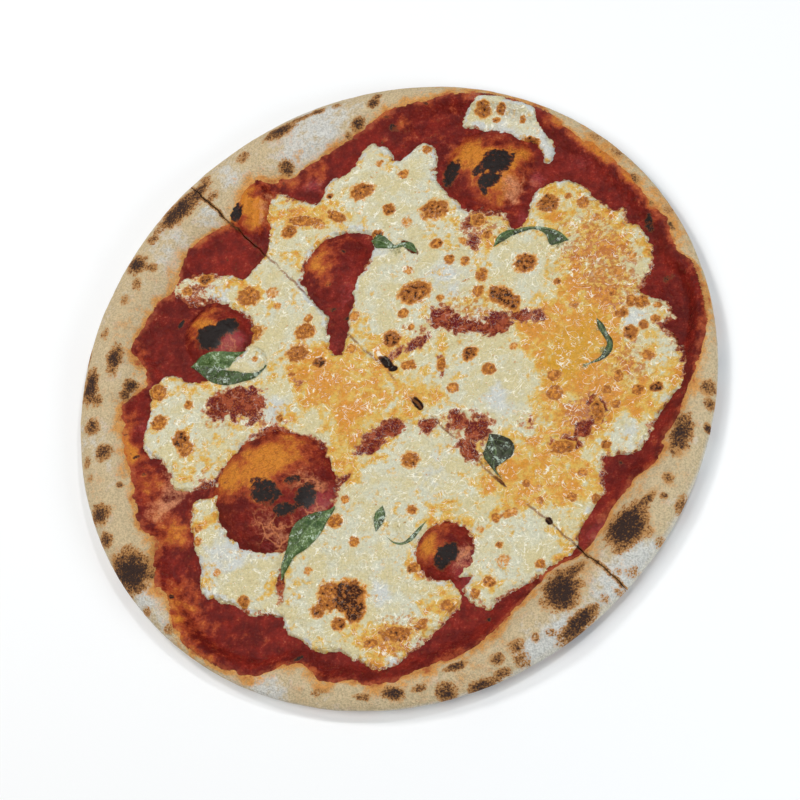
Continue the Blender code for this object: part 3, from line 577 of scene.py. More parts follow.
def rim_shape(angle):
    """Where the rim starts to rise, the radius of its crest and the crest's height."""
    edge = sauce_edge(angle)
    start = edge - RIM_SLOPE
    crest = start + RIM_CREST * (PIZZA_RADIUS - start)
    height = RIM_LOW + (RIM_HIGH - RIM_LOW) * np.clip((PIZZA_RADIUS - edge) / RIM_WIDE, 0, 1)
    for rise, count, turn in RIM_WAVES:
        height = height + rise * np.sin(count * angle + turn)
    return start, crest, height


def plain_rim(radius, crest, top):
    """The rim's upper side from its crest outwards, without bubbles and folds."""
    fall = np.clip((radius - crest) / (PIZZA_RADIUS - crest), 0, 1)
    return RIM_EDGE + (top - RIM_EDGE) * np.sqrt(1 - fall * fall)


READ_LEVEL = 6                   # height of the plane against which the places on the rim were read
READ_SHIFT = 0.2                 # a rounding, taken off x as the looks suit it
BUBBLE_SHARE = 0.9               # share of a bubble's height by which a place on it is lifted


def rim_height(x, y):
    """The dough's upper side without bubbles and folds."""
    radius, angle = np.hypot(x, y), np.arctan2(y, x)
    start, crest, top = rim_shape(angle)
    rise = smooth((radius - start) / (crest - start))
    return np.where(radius < crest, DOUGH + (top - DOUGH) * rise, plain_rim(radius, crest, top))


def bubble_height(x, y, bubble):
    """How far a bubble lifts the dough."""
    bx, by, size, bulge = bubble
    away = np.hypot(x - bx, y - by) / size
    return bulge * np.clip(1 - away * away, 0, 1) ** 0.8


def lifted(x, y, lift):
    """Where a place lies that the camera sees at x and y but that is this much higher."""
    sight = direction(CAMERA_AZIMUTH, CAMERA_HEIGHT)
    return x + sight.x / sight.z * lift, y + sight.y / sight.z * lift


def to_half(number):
    """A number rounded to the nearest half."""
    return round(2 * number) / 2


def on_rim(places):
    """The places seen against the plane at READ_LEVEL, moved to where they lie on the rim."""
    moved = []
    for seen_x, seen_y, *rest in places:
        seen_x -= READ_SHIFT
        x, y = seen_x, seen_y
        for _ in range(6):
            x, y = lifted(seen_x, seen_y, float(rim_height(x, y)) - READ_LEVEL)
        moved.append((to_half(x), to_half(y), *rest))
    return moved


def on_bubbles(places):
    """The places seen against the level base, moved to where they lie on the high bubbles."""
    moved = []
    for x, y, *rest in places:
        for bubble in BUBBLES[:HIGH_BUBBLES]:
            lift = BUBBLE_SHARE * float(bubble_height(x, y, bubble))
            if lift:
                x, y = map(to_half, lifted(x, y, lift))
                break
        moved.append((x, y, *rest))
    return moved


def dough_height(x, y):
    """The dough's upper side."""
    height = rim_height(x, y)
    for bubble in BUBBLES:
        height = height + bubble_height(x, y, bubble)
    for fx, fy, long, wide, turn, rise in FOLDS:
        a, b = turned(x - fx, y - fy, turn)
        height = height + rise * np.exp(-((a / long) ** 4) - (b / wide) ** 2)
    return height


def dough_relief(points):
    """Lumps of the baked surface."""
    return 0.5 * noise(points, 13, 11, 2) + 0.22 * noise(points, 4.5, 12, 2) + 0.10 * noise(points, 1.8, 13)


def sauce_height(x, y):
    """The sauce's upper side. Past its edge it dips under the dough."""
    radius, angle = np.hypot(x, y), np.arctan2(y, x)
    p = flat(x, y)
    wobble = 1.3 * noise(p, 9, 21, 2) + 0.25 * noise(p, 2.5, 22)
    inward = sauce_edge(angle) - radius + wobble
    thick = np.where(inward > 0, SAUCE * smooth(inward / 7) ** 0.7 + 0.05, 0.35 * inward)
    relief = 0.28 * noise(p, 9, 23, 2) + 0.10 * noise(p, 2.4, 24, 2)
    return dough_height(x, y) + thick + relief * smooth(inward / 6) + 0.4 * dough_relief(p), inward


def bubble_distance(x, y):
    """How far outside the nearest of the open bubbles a point is."""
    p = flat(x, y)
    away = np.full_like(x, 99.0)
    for bx, by, size, _ in BUBBLES[:OPEN_BUBBLES]:
        away = np.minimum(away, np.hypot(x - bx, y - by) - size + 1.5)
    return away + 0.9 * noise(p, 5, 31, 2)


def cheese_distance(x, y, outlines, windows):
    """How far inside the cheese a point is, negative where there is none, and how ragged it is there."""
    p = flat(x, y)
    inside = np.full_like(x, -99.0)
    for outline in outlines:
        inside = np.maximum(inside, inside_distance(x, y, outline))
    for window in windows:
        inside = np.minimum(inside, -inside_distance(x, y, window))
    inside = np.minimum(inside, bubble_distance(x, y))
    inside = np.minimum(inside, CHEESE_REACH - np.hypot(x, y))
    ragged = np.clip(soft_places(x, y, RAGGED) + 0.3 * noise(p, 12, 43), 0, 1)
    inside = inside + 1.6 * noise(p, 6, 41, 3) + (1.2 + 1.4 * ragged) * noise(p, 2.4, 42, 3)
    return inside, ragged


# ---- Meshes -----------------------------------------------------------------------------------


def slanting(x, y):
    """Distances along and across the slanting line that the knife's path follows."""
    return (x - y) * math.sqrt(0.5), (x + y) * math.sqrt(0.5)


def path_offset(along):
    """How far the knife's path strays from that line."""
    path_along, path_across = slanting(*np.array(KNIFE_PATH, float).T)
    waver = 0.22 * np.sin(along / 2.3) + 0.18 * np.sin(along / 1.1 + 2)
    return waver + np.interp(along, path_along, path_across)


def path_coordinates(x, y):
    """Distance along the knife's path and across it, positive on the upper right side."""
    along, across = slanting(x, y)
    return along, across - path_offset(along)


def from_path(along, across):
    """The place that lies at these distances along and across the knife's path."""
    across = across + path_offset(along)
    return (along + across) * math.sqrt(0.5), (across - along) * math.sqrt(0.5)


def make_mesh(name, verts, faces, fields):
    """A mesh that carries colour fields on its points."""
    mesh = bpy.data.meshes.new(name)
    mesh.from_pydata(verts, [], faces)
    for field, values in fields.items():
        layer = mesh.attributes.new(field, "FLOAT", "POINT")
        layer.data.foreach_set("value", np.ascontiguousarray(values, dtype=np.float32))
    mesh.update()
    return mesh


def open_edges(quads, count):
    """The edges that only one of the quads has, as their first and second points."""
    starts = quads.ravel()
    ends = np.roll(quads, -1, axis=1).ravel()
    single = ~np.isin(starts * count + ends, ends * count + starts)
    return starts[single], ends[single]


def filled_outline(places, edges, cell):
    """Triangles between the outline's places on the grid, only where the grid's cells are in use."""
    row, column = places
    corners = [Vector((c, r)) for c, r in zip(column.tolist(), row.tolist())]
    net = geometry.delaunay_2d_cdt(corners, edges, [], 0, 1e-4)
    triangles = np.array(net[2])
    centre = np.array([tuple(corner) for corner in net[0]])[triangles].mean(axis=1).astype(int)
    centre = np.minimum(centre, len(cell) - 1)
    return triangles[cell[centre[:, 1], centre[:, 0]]]


def layer_mesh(name, step, low, cover, height):
    """A closed mesh over the part of an even grid that cover chooses, with a flat underside at low.

    cover gives True where the layer is; height gives the upper side and the fields to keep. The grid
    follows the knife's path, whose line falls between two of its rows."""
    line = np.arange(-PIZZA_RADIUS, PIZZA_RADIUS + step, step)
    along, across = (a.ravel() for a in np.meshgrid(line, line + ROW_SHIFT * step))
    x, y = from_path(along, across)
    wanted = cover(x, y).reshape(len(line), len(line))
    cell = wanted[:-1, :-1] & wanted[1:, :-1] & wanted[:-1, 1:] & wanted[1:, 1:]
    number = np.arange(len(line) ** 2).reshape(len(line), len(line))
    quads = np.stack([number[:-1, :-1], number[:-1, 1:], number[1:, 1:], number[1:, :-1]], -1)[cell]
    used, quads = np.unique(quads, return_inverse=True)
    quads = quads.reshape(-1, 4)
    x, y, count = x[used], y[used], len(used)
    starts, ends = open_edges(quads, count)
    rim = np.unique(starts)
    order = np.full(count, -1)
    order[rim] = np.arange(len(rim))
    below = order + count
    walls = np.stack([ends, starts, below[starts], below[ends]], -1)
    edges = list(zip(order[starts].tolist(), order[ends].tolist()))
    bottom = filled_outline(np.divmod(used[rim], len(line)), edges, cell)
    top, fields = height(x, y)
    verts = np.concatenate([flat(x, y), flat(x[rim], y[rim], low)])
    verts[:count, 2] = np.maximum(top, low + THINNEST)
    fields = {key: np.concatenate([values, values[rim]]) for key, values in fields.items()}
    faces = quads.tolist() + walls.tolist() + (count + bottom[:, ::-1]).tolist()
    return make_mesh(name, verts, faces, fields)


def move_points(mesh, move):
    """Gives every point of a mesh a new x and y."""
    places = np.empty(len(mesh.vertices) * 3)
    mesh.vertices.foreach_get("co", places)
    places = places.reshape(-1, 3)
    places[:, 0], places[:, 1] = move(places[:, 0].copy(), places[:, 1].copy())
    mesh.vertices.foreach_set("co", places.ravel())


def cut_in_two(mesh, gap, lip=2.5):
    """The two sides of a closed mesh along the knife's path, their lips drawn apart by the gap."""
    move_points(mesh, path_coordinates)
    halves = []
    for side in (1, -1):
        bm = bmesh.new()
        bm.from_mesh(mesh)
        cut = bmesh.ops.bisect_plane(
            bm, geom=bm.verts[:] + bm.edges[:] + bm.faces[:], plane_co=(0, 0, 0), plane_no=(0, 1, 0),
            dist=1e-5, clear_inner=side > 0, clear_outer=side < 0)
        rim = [e for e in cut["geom_cut"] if isinstance(e, bmesh.types.BMEdge) and e.is_boundary]
        bmesh.ops.edgeloop_fill(bm, edges=rim)
        half = bpy.data.meshes.new(mesh.name)
        bm.to_mesh(half)
        bm.free()

        def draw_apart(along, across):
            """The place on the pizza, moved away from the path by its share of the gap."""
            return from_path(along, across + side * gap(along) / 2 * np.exp(-np.abs(across) / lip))

        move_points(half, draw_apart)
        halves.append(half)
    return halves


def face_outwards(mesh):
    """Turns every face of a closed mesh outwards."""
    bm = bmesh.new()
    bm.from_mesh(mesh)
    bmesh.ops.recalc_face_normals(bm, faces=bm.faces)
    bm.to_mesh(mesh)
    bm.free()


def check_closed(mesh):
    """Stops the script if a mesh has an open edge."""
    bm = bmesh.new()
    bm.from_mesh(mesh)
    if any(not e.is_manifold for e in bm.edges):
        raise RuntimeError(f"{mesh.name} is not closed")
    bm.free()


def finish_piece(name, mesh, material, slot, *nodes):
    """Scales a mesh to metres, shades it and makes it the piece that stands for some CAD nodes."""
    check_closed(mesh)
    mesh.transform(Matrix.Scale(MM, 4))
    mesh.shade_smooth()
    mesh.set_sharp_from_angle(angle=math.radians(SHARP_DEGREES))
    mesh.materials.append(material)
    piece = bpy.data.objects.new(name, mesh)
    bpy.context.scene.collection.objects.link(piece)
    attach(piece, "root")
    if nodes:
        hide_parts(*nodes)
    return piece


# ---- Dough ------------------------------------------------------------------------------------


def cut_shade(x, y):
    """Painted shade beside the open parts of the knife's cut, in beads along it."""
    along, across = path_coordinates(x, y)
    start, end = CUT_CLOSED
    open_here = np.maximum(smooth((start + 2 - along) / 6), smooth((along - end + 2) / 6))
    return open_here * np.exp(-((across / 0.85) ** 2)) * np.clip(0.7 + noise(flat(x, y), 4, 58, 2), 0, 1)


def dough_fields(p):
    """Colour fields of the dough at points on its surface."""
    x, y = p[:, 0], p[:, 1]
    radius, angle = np.hypot(x, y), np.arctan2(y, x)
    wobble = 0.5 * noise(p, 3.6, 51, 3)
    char, near, _ = spot_field(x, y, on_rim(RIM_SPOTS) + RIM_SPOTS_PLACED, wobble, blur=0.75)
    # The painted shade along the knife's cut is laid into the char field.
    char = np.maximum(char, 0.8 * cut_shade(x, y))
    outward = radius - sauce_edge(angle) + 1.8 * noise(p, 6, 52, 2)
    stain = smooth(1 - outward / 9) * np.clip(0.6 + 0.9 * noise(p, 14, 55, 3), 0.1, 1)
    stain = np.maximum(stain, 0.9 * smooth(1 - outward / 2.5))
    warm = soft_places(x, y, on_rim(RIM_WARM)) + 0.7 * noise(p, 8, 53, 3) + 0.35 * near
    flour = soft_places(x, y, on_rim(RIM_FLOURY) + RIM_FLOURY_PLACED) + 0.35 * noise(p, 11, 54, 2)
    # Painted light: the rim's outer side, low down, is made paler all round.
    _, _, crest_height = rim_shape(angle)
    side = smooth((0.8 * crest_height - p[:, 2]) / 4) * smooth((radius - 140) / 8)
    return {
        "char": char,
        "stain": stain,
        "warm": np.clip(warm, 0, 1.4),
        "flour": np.clip(flour, 0, 1.2),
        "side": side,
    }


def dough_rings():
    """Rings of points from the hidden middle over the rim and back below it, before the relief."""
    angle = np.linspace(0, math.tau, DOUGH_SECTORS, endpoint=False)
    _, crest, top = rim_shape(angle)
    rings = []

    def add_ring(radius, height=None, lumps=False):
        """Adds a ring on the dough's surface, or at a height, with the surface's lumps if wanted."""
        radius = np.broadcast_to(radius, angle.shape)
        x, y = radius * np.cos(angle), radius * np.sin(angle)
        z = dough_height(x, y) if height is None else height + np.zeros_like(angle)
        if lumps:
            z = z + (dough_height(x, y) - plain_rim(np.hypot(x, y), crest, top))
        rings.append(np.stack([x, y, z], axis=1))

    for share in np.linspace(0, 1, SLOPE_RINGS, endpoint=False):
        add_ring(DOUGH_INNER + (crest - DOUGH_INNER) * share)
    for turn in np.linspace(0, math.pi / 2, BROW_RINGS, endpoint=False):
        height = RIM_EDGE + (top - RIM_EDGE) * math.cos(turn)
        add_ring(crest + (PIZZA_RADIUS - crest) * math.sin(turn), height, lumps=True)
    for turn in np.linspace(0, math.pi / 2, UNDER_RINGS):
        add_ring(PIZZA_RADIUS - RIM_UNDERCUT * (1 - math.cos(turn)), RIM_EDGE * (1 - math.sin(turn)))
    add_ring(DOUGH_INNER, 0)
    return np.stack(rings)


def outward_normals(grid):
    """Unit vectors standing on a surface given as rings of points."""
    along = np.roll(grid, -1, 1) - np.roll(grid, 1, 1)
    normal = np.cross(np.gradient(grid, axis=0), along)
    return normal / (np.linalg.norm(normal, axis=-1, keepdims=True) + 1e-9)


def dough_mesh():
    """The whole dough as one closed mesh, lumpy on top and round its side."""
    grid = dough_rings()
    points = grid.reshape(-1, 3)
    fields = dough_fields(points)
    under = np.arange(len(grid)) > SLOPE_RINGS + BROW_RINGS + 1
    fields["under"] = np.repeat(under, DOUGH_SECTORS).astype(float)
    fields["stain"] = fields["stain"] * (1 - fields["under"])
    crackle = np.abs(noise(points, 3.2, 57, 2))
    relief = dough_relief(points) + fields["char"] * (0.25 - 0.5 * crackle)
    outer = smooth((np.hypot(points[:, 0], points[:, 1]) - PIZZA_RADIUS + 8) / 8)
    relief = relief * (1 - 0.6 * outer) - 0.35 * outer
    relief = relief * smooth(points[:, 2] / 2.5)
    points = points + outward_normals(grid).reshape(-1, 3) * relief[:, None]
    points[:, :2] *= np.minimum(1, PIZZA_RADIUS / np.hypot(points[:, 0], points[:, 1]))[:, None]
    points[:, 2] = np.clip(points[:, 2], 0, PIZZA_TOP)
    number = np.arange(len(points)).reshape(len(grid), DOUGH_SECTORS)
    beside = np.roll(number, -1, 1)
    quads = np.stack([number[:-1], number[1:], beside[1:], beside[:-1]], -1).reshape(-1, 4)
    faces = quads.tolist() + [number[0].tolist(), number[-1, ::-1].tolist()]
    points[number[0], 2] = DOUGH - HIDDEN_DEPTH
    return make_mesh("crust", points, faces, fields)


# ---- Sauce ------------------------------------------------------------------------------------


def sauce_cover(x, y):
    """Where the sauce's sheet lies."""
    radius = np.hypot(x, y)
    return (radius < sauce_edge(np.arctan2(y, x)) + SAUCE_TUCK) & (radius < SAUCE_REACH)


def sauce_surface(x, y):
    """The sauce's upper side with its fine relief, and its colour fields."""
    top, inward = sauce_height(x, y)
    p = flat(x, y)
    burnt = on_bubbles(SAUCE_CHAR) + SAUCE_CHAR_PLACED
    char, near, _ = spot_field(x, y, burnt, 0.45 * noise(p, 2.8, 61, 3), blur=0.3)
    orange = soft_places(x, y, on_bubbles(ORANGE) + ORANGE_PLACED)
    orange += 0.30 * noise(p, 6, 62, 2) + 0.25 * near
    orange += smooth(1 - inward / 6) * np.clip(0.35 + 1.1 * noise(p, 17, 66, 2), 0, 1)
    cherry = soft_places(x, y, on_bubbles(CHERRY)) + 0.2 * noise(p, 7, 63, 2)
    crackle = np.abs(noise(p, 3.4, 64, 2))
    top = top + char * (0.4 - 1.0 * crackle)
    # The painted shade along the knife's cut is laid into the char field.
    char = np.maximum(char, 0.75 * cut_shade(x, y))
    bubbly = smooth((1.5 - bubble_distance(x, y)) / 3)
    top = top + bubbly * 0.22 * noise(p, 2.6, 65, 2)
    fields = {
        "char": char,
        "orange": np.clip(orange, 0, 1.3),
        "cherry": np.clip(cherry, 0, 1.2),
        "blush": soft_places(x, y, PAINTED_SHEEN),
        "edge": smooth(1 - inward / 6),
        "bubble": bubbly,
    }
    return top, fields


# ---- Cheese -----------------------------------------------------------------------------------


def cheese_fields(x, y, inside, ragged):
    """Colour fields of the cheese, from how far inside it a point is and how ragged it is there."""
    p = flat(x, y)
    wobble = 0.30 * noise(p, 3.4, 71, 2) + 0.14 * noise(p, 1.3, 70)
    spot, near, ring = spot_field(x, y, BLISTERS, wobble, blur=0.3)
    burnt, _, _ = spot_field(x, y, BURNT, 0.3 * noise(p, 2.4, 72, 2), blur=0.25)
    gold = 0.42 + 0.5 * soft_places(x, y, GOLDEN) - 0.8 * soft_places(x, y, CREAMY)
    gold += 0.55 * noise(p, 10, 73, 3) + 0.3 * noise(p, 3, 74, 2)
    thin = soft_places(x, y, THIN) + 0.30 * noise(p, 4, 75, 2) - 0.12
    thin += (0.4 + 0.8 * ragged) * smooth(1 - inside / (1.6 + 3.4 * ragged))
    bare, _, _ = spot_field(x, y, BARE, 0.7 * noise(p, 4, 78, 3), blur=0.5)
    thin = np.maximum(thin, 1.3 * bare)
    white = soft_places(x, y, WHITEST) + 0.3 * noise(p, 8, 77, 2)
    # A painted highlight in a band just inside the cheese's edge, where the rounded edge catches the light;
    # it is laid into the white field.
    margin = np.exp(-(((inside - 1.4) / 1.1) ** 2)) * smooth(0.5 + 1.4 * noise(p, 9, 79, 2))
    white += 1.1 * margin * (1 - 0.7 * ragged)
    return {
        "spot": spot,
        "near": near,
        "ring": ring,
        "burnt": burnt,
        "gold": smooth(gold),
        "rough": np.clip(soft_places(x, y, ROUGH), 0, 1),
        "thin": np.clip(thin, 0, 1.2),
        "white": np.clip(white, 0, 1),
        "green": np.clip(soft_places(x, y, GREENISH), 0, 1),
        "yellow": np.clip(soft_places(x, y, YELLOW), 0, 1),
    }


def cheese_surface(outlines, windows, cover=None):
    """Gives a function for the cheese's upper side and its fields; cover lies over a leaf as well."""

    def surface(x, y):
        """The upper side and the colour fields at some places."""
        p = flat(x, y)
        inside, ragged = cheese_distance(x, y, outlines, windows)
        fields = cheese_fields(x, y, inside, ragged)
        base, _ = sauce_height(x, y)
        full = CHEESE + 0.45 * noise(p, 14, 81, 2) - 1.3 * np.clip(fields["thin"], 0, 1)
        t = np.clip(inside / (2.8 + 3.0 * ragged), 0, 1)
        thick = np.where(inside > 0, full * np.sqrt(1 - (1 - t) ** 2), 0.8 * inside)
        rough = 0.12 + 0.8 * fields["gold"] + 0.5 * np.clip(fields["thin"], 0, 1)
        relief = rough * (0.30 * noise(p, 3.4, 82, 3) + 0.26 * noise(p, 1.7, 83))
        relief += 0.40 * noise(p, 9, 84, 3) + 0.12 * noise(p, 2.4, 88, 2)
        relief += 0.35 * fields["near"] * fields["spot"] + 0.45 * fields["spot"] * noise(p, 1.6, 85)
        relief -= 0.9 * fields["burnt"]
        if cover is not None:
            over = inside_distance(x, y, cover) + 0.5 * noise(p, 4, 86)
            thick = thick + 2.0 * np.sqrt(1 - (1 - np.clip(over / 2.2, 0, 1)) ** 2)
        _, across = path_coordinates(x, y)
        # A groove along the knife's cut; its field also paints shade into it.
        groove = np.exp(-((across / 0.7) ** 2)) * 0.5 * smooth(0.7 + 1.2 * noise(p, 11, 87))
        fields["groove"] = groove
        return base + thick + relief * smooth(inside / 1.5) - groove, fields

    return surface


def cheese_mesh(outlines, windows, cover=None):
    """One sheet of melted cheese."""

    def is_cheese(x, y):
        """Where the sheet of cheese lies."""
        return cheese_distance(x, y, outlines, windows)[0] > -CHEESE_TUCK

    surface = cheese_surface(outlines, windows, cover)
    return layer_mesh("cheese", CHEESE_STEP, CHEESE_UNDERSIDE, is_cheese, surface)


# ---- Basil leaves -----------------------------------------------------------------------------
LEAF_THICKNESS = 0.35
LEAF_TIP = 0.02
VEIN_SPACING, VEIN_WIDTH, RIB_WIDTH = 3.4, 0.32, 0.4


def food_height(x, y):
    """The top of the sauce and the cheese, which a leaf lies on."""
    sauce, _ = sauce_height(x, y)
    cheese, _ = cheese_surface([CHEESE_MAIN], WINDOWS)(x, y)
    return np.maximum(sauce, cheese)


def leaf_grid(points):
    """Rows of places over a leaf: x, y, which side, half width, distance from the midrib and along it."""
    reach = np.concatenate([[0], np.cumsum(np.hypot(*np.diff(points[:, :2], axis=0).T))])
    length = reach[-1]
    rows = int(length / LEAF_STEP) + 1
    columns = 2 * int(max(3, points[:, 2:].max() / LEAF_STEP)) + 1
    along = length * (0.5 - 0.5 * np.cos(np.linspace(0.02, 1, rows) * math.pi))
    spine = smooth_rows(points, reach, along)
    ahead = np.gradient(spine[:, :2], axis=0)
    ahead /= np.linalg.norm(ahead, axis=1, keepdims=True)
    side = np.linspace(-1, 1, columns)
    width = np.where(side > 0, spine[:, 2:3], spine[:, 3:4]) + LEAF_TIP
    offset = side * width
    x = spine[:, 0:1] - ahead[:, 1:2] * offset
    y = spine[:, 1:2] + ahead[:, 0:1] * offset
    return x, y, side, width, offset, along[:, None]


def softened(ground):
    """Rows of heights with their small lumps taken off."""
    for _ in range(3):
        ground[1:-1] = (ground[:-2] + ground[1:-1] + ground[2:]) / 3
        ground[:, 1:-1] = (ground[:, :-2] + ground[:, 1:-1] + ground[:, 2:]) / 3
    return ground


def leaf_faces(rows, columns):
    """Faces of a thin closed sheet: its upper side, its underside and the wall round it."""
    count = rows * columns
    number = np.arange(count).reshape(rows, columns)
    quads = np.stack([number[:-1, :-1], number[1:, :-1], number[1:, 1:], number[:-1, 1:]], -1).reshape(-1, 4)
    ring = np.concatenate([number[:, 0], number[-1, 1:], number[-2::-1, -1], number[0, -2:0:-1]])
    after = np.roll(ring, -1)
    walls = np.stack([after, ring, ring + count, after + count], -1)
    return quads.tolist() + (quads[:, ::-1] + count).tolist() + walls.tolist()


def leaf_mesh(name, lift, darkness, midrib):
    """A thin closed leaf that drapes over the food, with a midrib and side veins pressed into it."""
    x, y, side, width, offset, along = leaf_grid(np.array(midrib, float))
    points = flat(x.ravel(), y.ravel())

    def hills(size, seed, octaves=1):
        """Noise over the leaf's rows of places."""
        return noise(points, size, seed, octaves).reshape(x.shape)

    ground = softened(food_height(x.ravel(), y.ravel()).reshape(x.shape))
    phase = (along - 0.8 * np.abs(offset)) / VEIN_SPACING
    vein = np.exp(-(((phase - np.round(phase)) * VEIN_SPACING / VEIN_WIDTH) ** 2))
    vein = vein * smooth(np.abs(offset) / 0.6)
    rib = np.exp(-((offset / RIB_WIDTH) ** 2))
    quilt = 0.45 * (1 - vein - rib) * smooth(width / 3)
    curl = 0.8 * hills(7, 91, 2) + 0.6 * hills(2.6, 92)
    top = ground + (lift + curl * smooth(width / 3)) * (1 - np.abs(side) ** 4) + quilt
    top = np.maximum(top, ground - 0.1) + 0.05
    dark = np.where(side > 0.08, darkness[0], darkness[1]) + 0.25 * hills(5, 93, 2)
    fields = {"vein": np.maximum(vein, rib), "dark": np.clip(dark, 0, 1)}
    fields = {key: np.tile(values.ravel(), 2) for key, values in fields.items()}
    points[:, 2] = top.ravel()
    points = np.concatenate([points, points - [0, 0, LEAF_THICKNESS]])
    mesh = make_mesh(name, points, leaf_faces(*x.shape), fields)
    face_outwards(mesh)
    return mesh


# ---- Materials --------------------------------------------------------------------------------


def srgb(r, g, b):
    """A colour given as 0 to 255 on screen, as the shader wants it."""
    shares = [channel / 255 for channel in (r, g, b)]
    return (*[((s + 0.055) / 1.055) ** 2.4 if s > 0.04045 else s / 12.92 for s in shares], 1.0)


class Look:
    """A material, with short ways to make the nodes that paint it."""

    def __init__(self, name):
        self.material = bpy.data.materials.new(name)
        self.material.use_nodes = True
        self.tree = self.material.node_tree
        self.shader = self.tree.nodes["Principled BSDF"]
        self.place = self.tree.nodes.new("ShaderNodeTexCoord").outputs["Object"]
        self.colour = None

    def join(self, source, socket):
        """Links an output to an input."""
        self.tree.links.new(source, socket)

    def field(self, name):
        """A colour field that the mesh carries."""
        node = self.tree.nodes.new("ShaderNodeAttribute")
        node.attribute_name = name
        return node.outputs["Fac"]

    def noise(self, size, detail=2.0, roughness=0.5, distortion=0.0):
        """Noise whose hills are about this many millimetres apart."""
        node = self.tree.nodes.new("ShaderNodeTexNoise")
        node.inputs["Scale"].default_value = 1 / (size * MM)
        node.inputs["Detail"].default_value = detail
        node.inputs["Roughness"].default_value = roughness
        node.inputs["Distortion"].default_value = distortion
        self.join(self.place, node.inputs["Vector"])
        return node.outputs["Fac"]

    def cells(self, size, bend):
        """Distance to the nearest seam between cells this many millimetres wide, the seams bent by some."""
        wander = self.tree.nodes.new("ShaderNodeTexNoise")
        wander.inputs["Scale"].default_value = 2 / (size * MM)
        self.join(self.place, wander.inputs["Vector"])
        place = self.tree.nodes.new("ShaderNodeVectorMath")
        place.operation = "MULTIPLY_ADD"
        self.join(wander.outputs["Color"], place.inputs[0])
        place.inputs[1].default_value = (2 * bend * MM,) * 3
        self.join(self.place, place.inputs[2])
        node = self.tree.nodes.new("ShaderNodeTexVoronoi")
        node.feature = "DISTANCE_TO_EDGE"
        node.inputs["Scale"].default_value = 1 / (size * MM)
        self.join(place.outputs[0], node.inputs["Vector"])
        return node.outputs["Distance"]

    def sum(self, *terms):
        """Adds sockets, each given with its factor; a plain number is added as it is."""
        total = None
        for term in terms:
            node = self.tree.nodes.new("ShaderNodeMath")
            node.operation = "MULTIPLY_ADD"
            if isinstance(term, tuple):
                self.join(term[0], node.inputs[0])
                node.inputs[1].default_value = term[1]
            else:
                node.inputs[0].default_value = term
                node.inputs[1].default_value = 1
            if total is None:
                node.inputs[2].default_value = 0
            else:
                self.join(total, node.inputs[2])
            total = node.outputs[0]
        return total

    def mottled(self, name, strength, *noises):
        """A field with noises added, each given with its strength and taken about its middle."""
        return self.sum((self.field(name), strength), *noises, -0.5 * sum(amount for _, amount in noises))

    def times(self, a, b):
        """The product of two sockets."""
        node = self.tree.nodes.new("ShaderNodeMath")
        node.operation = "MULTIPLY"
        self.join(a, node.inputs[0])
        self.join(b, node.inputs[1])
        return node.outputs[0]

    def between(self, value, low, high, to_low=0.0, to_high=1.0):
        """Softly maps a value from one range to another."""
        node = self.tree.nodes.new("ShaderNodeMapRange")
        node.interpolation_type = "SMOOTHSTEP"
        self.join(value, node.inputs["Value"])
        for key, number in zip(("From Min", "From Max", "To Min", "To Max"), (low, high, to_low, to_high)):
            node.inputs[key].default_value = number
        return node.outputs["Result"]

    def ground(self, share, under, over):
        """Lays down the first colour, a mix of two."""
        self.colour = self.blend(share, srgb(*under), srgb(*over))

    def coat(self, share, *over):
        """Lays another colour over what is there, where the share is above 0."""
        self.colour = self.blend(share, self.colour, srgb(*over))

    def blend(self, share, under, over):
        """A mix of two colours or sockets, all of the second where the share is 1."""
        node = self.tree.nodes.new("ShaderNodeMix")
        node.data_type = "RGBA"
        self.join(share, node.inputs["Factor"])
        for key, colour in (("A", under), ("B", over)):
            socket = [s for s in node.inputs if s.name == key and s.type == "RGBA"][0]
            if isinstance(colour, tuple):
                socket.default_value = colour
            else:
                self.join(colour, socket)
        return [s for s in node.outputs if s.type == "RGBA"][0]

    def lines(self, size, width, detail=1.0, distortion=0.6):
        """Thin curved lines, 1 on a line, where a noise of this size passes its middle."""
        node = self.tree.nodes.new("ShaderNodeMath")
        node.operation = "COMPARE"
        node.inputs[1].default_value = 0.5
        node.inputs[2].default_value = width
        self.join(self.noise(size, detail, 0.5, distortion), node.inputs[0])
        return node.outputs[0]

    def shade(self, factor):
        """Makes the colour lighter or darker by a factor."""
        node = self.tree.nodes.new("ShaderNodeVectorMath")
        node.operation = "SCALE"
        self.join(self.colour, node.inputs[0])
        self.join(factor, node.inputs["Scale"])
        self.colour = node.outputs[0]

    def bump(self, height, depth):
        """Fine relief of at most this many millimetres."""
        node = self.tree.nodes.new("ShaderNodeBump")
        node.inputs["Strength"].default_value = 1
        node.inputs["Distance"].default_value = depth * MM
        self.join(height, node.inputs["Height"])
        self.join(node.outputs["Normal"], self.shader.inputs["Normal"])

    def finished(self, roughness, shine, relief, depth):
        """The material, with its colour, roughness, shine and fine relief in place."""
        self.use("Base Color", self.colour)
        self.use("Roughness", roughness)
        self.use("Specular IOR Level", shine)
        self.bump(relief, depth)
        return self.material

    def use(self, key, value):
        """Sets or links one of the shader's inputs."""
        if isinstance(value, (int, float, tuple)):
            self.shader.inputs[key].default_value = value
        else:
            self.join(value, self.shader.inputs[key])


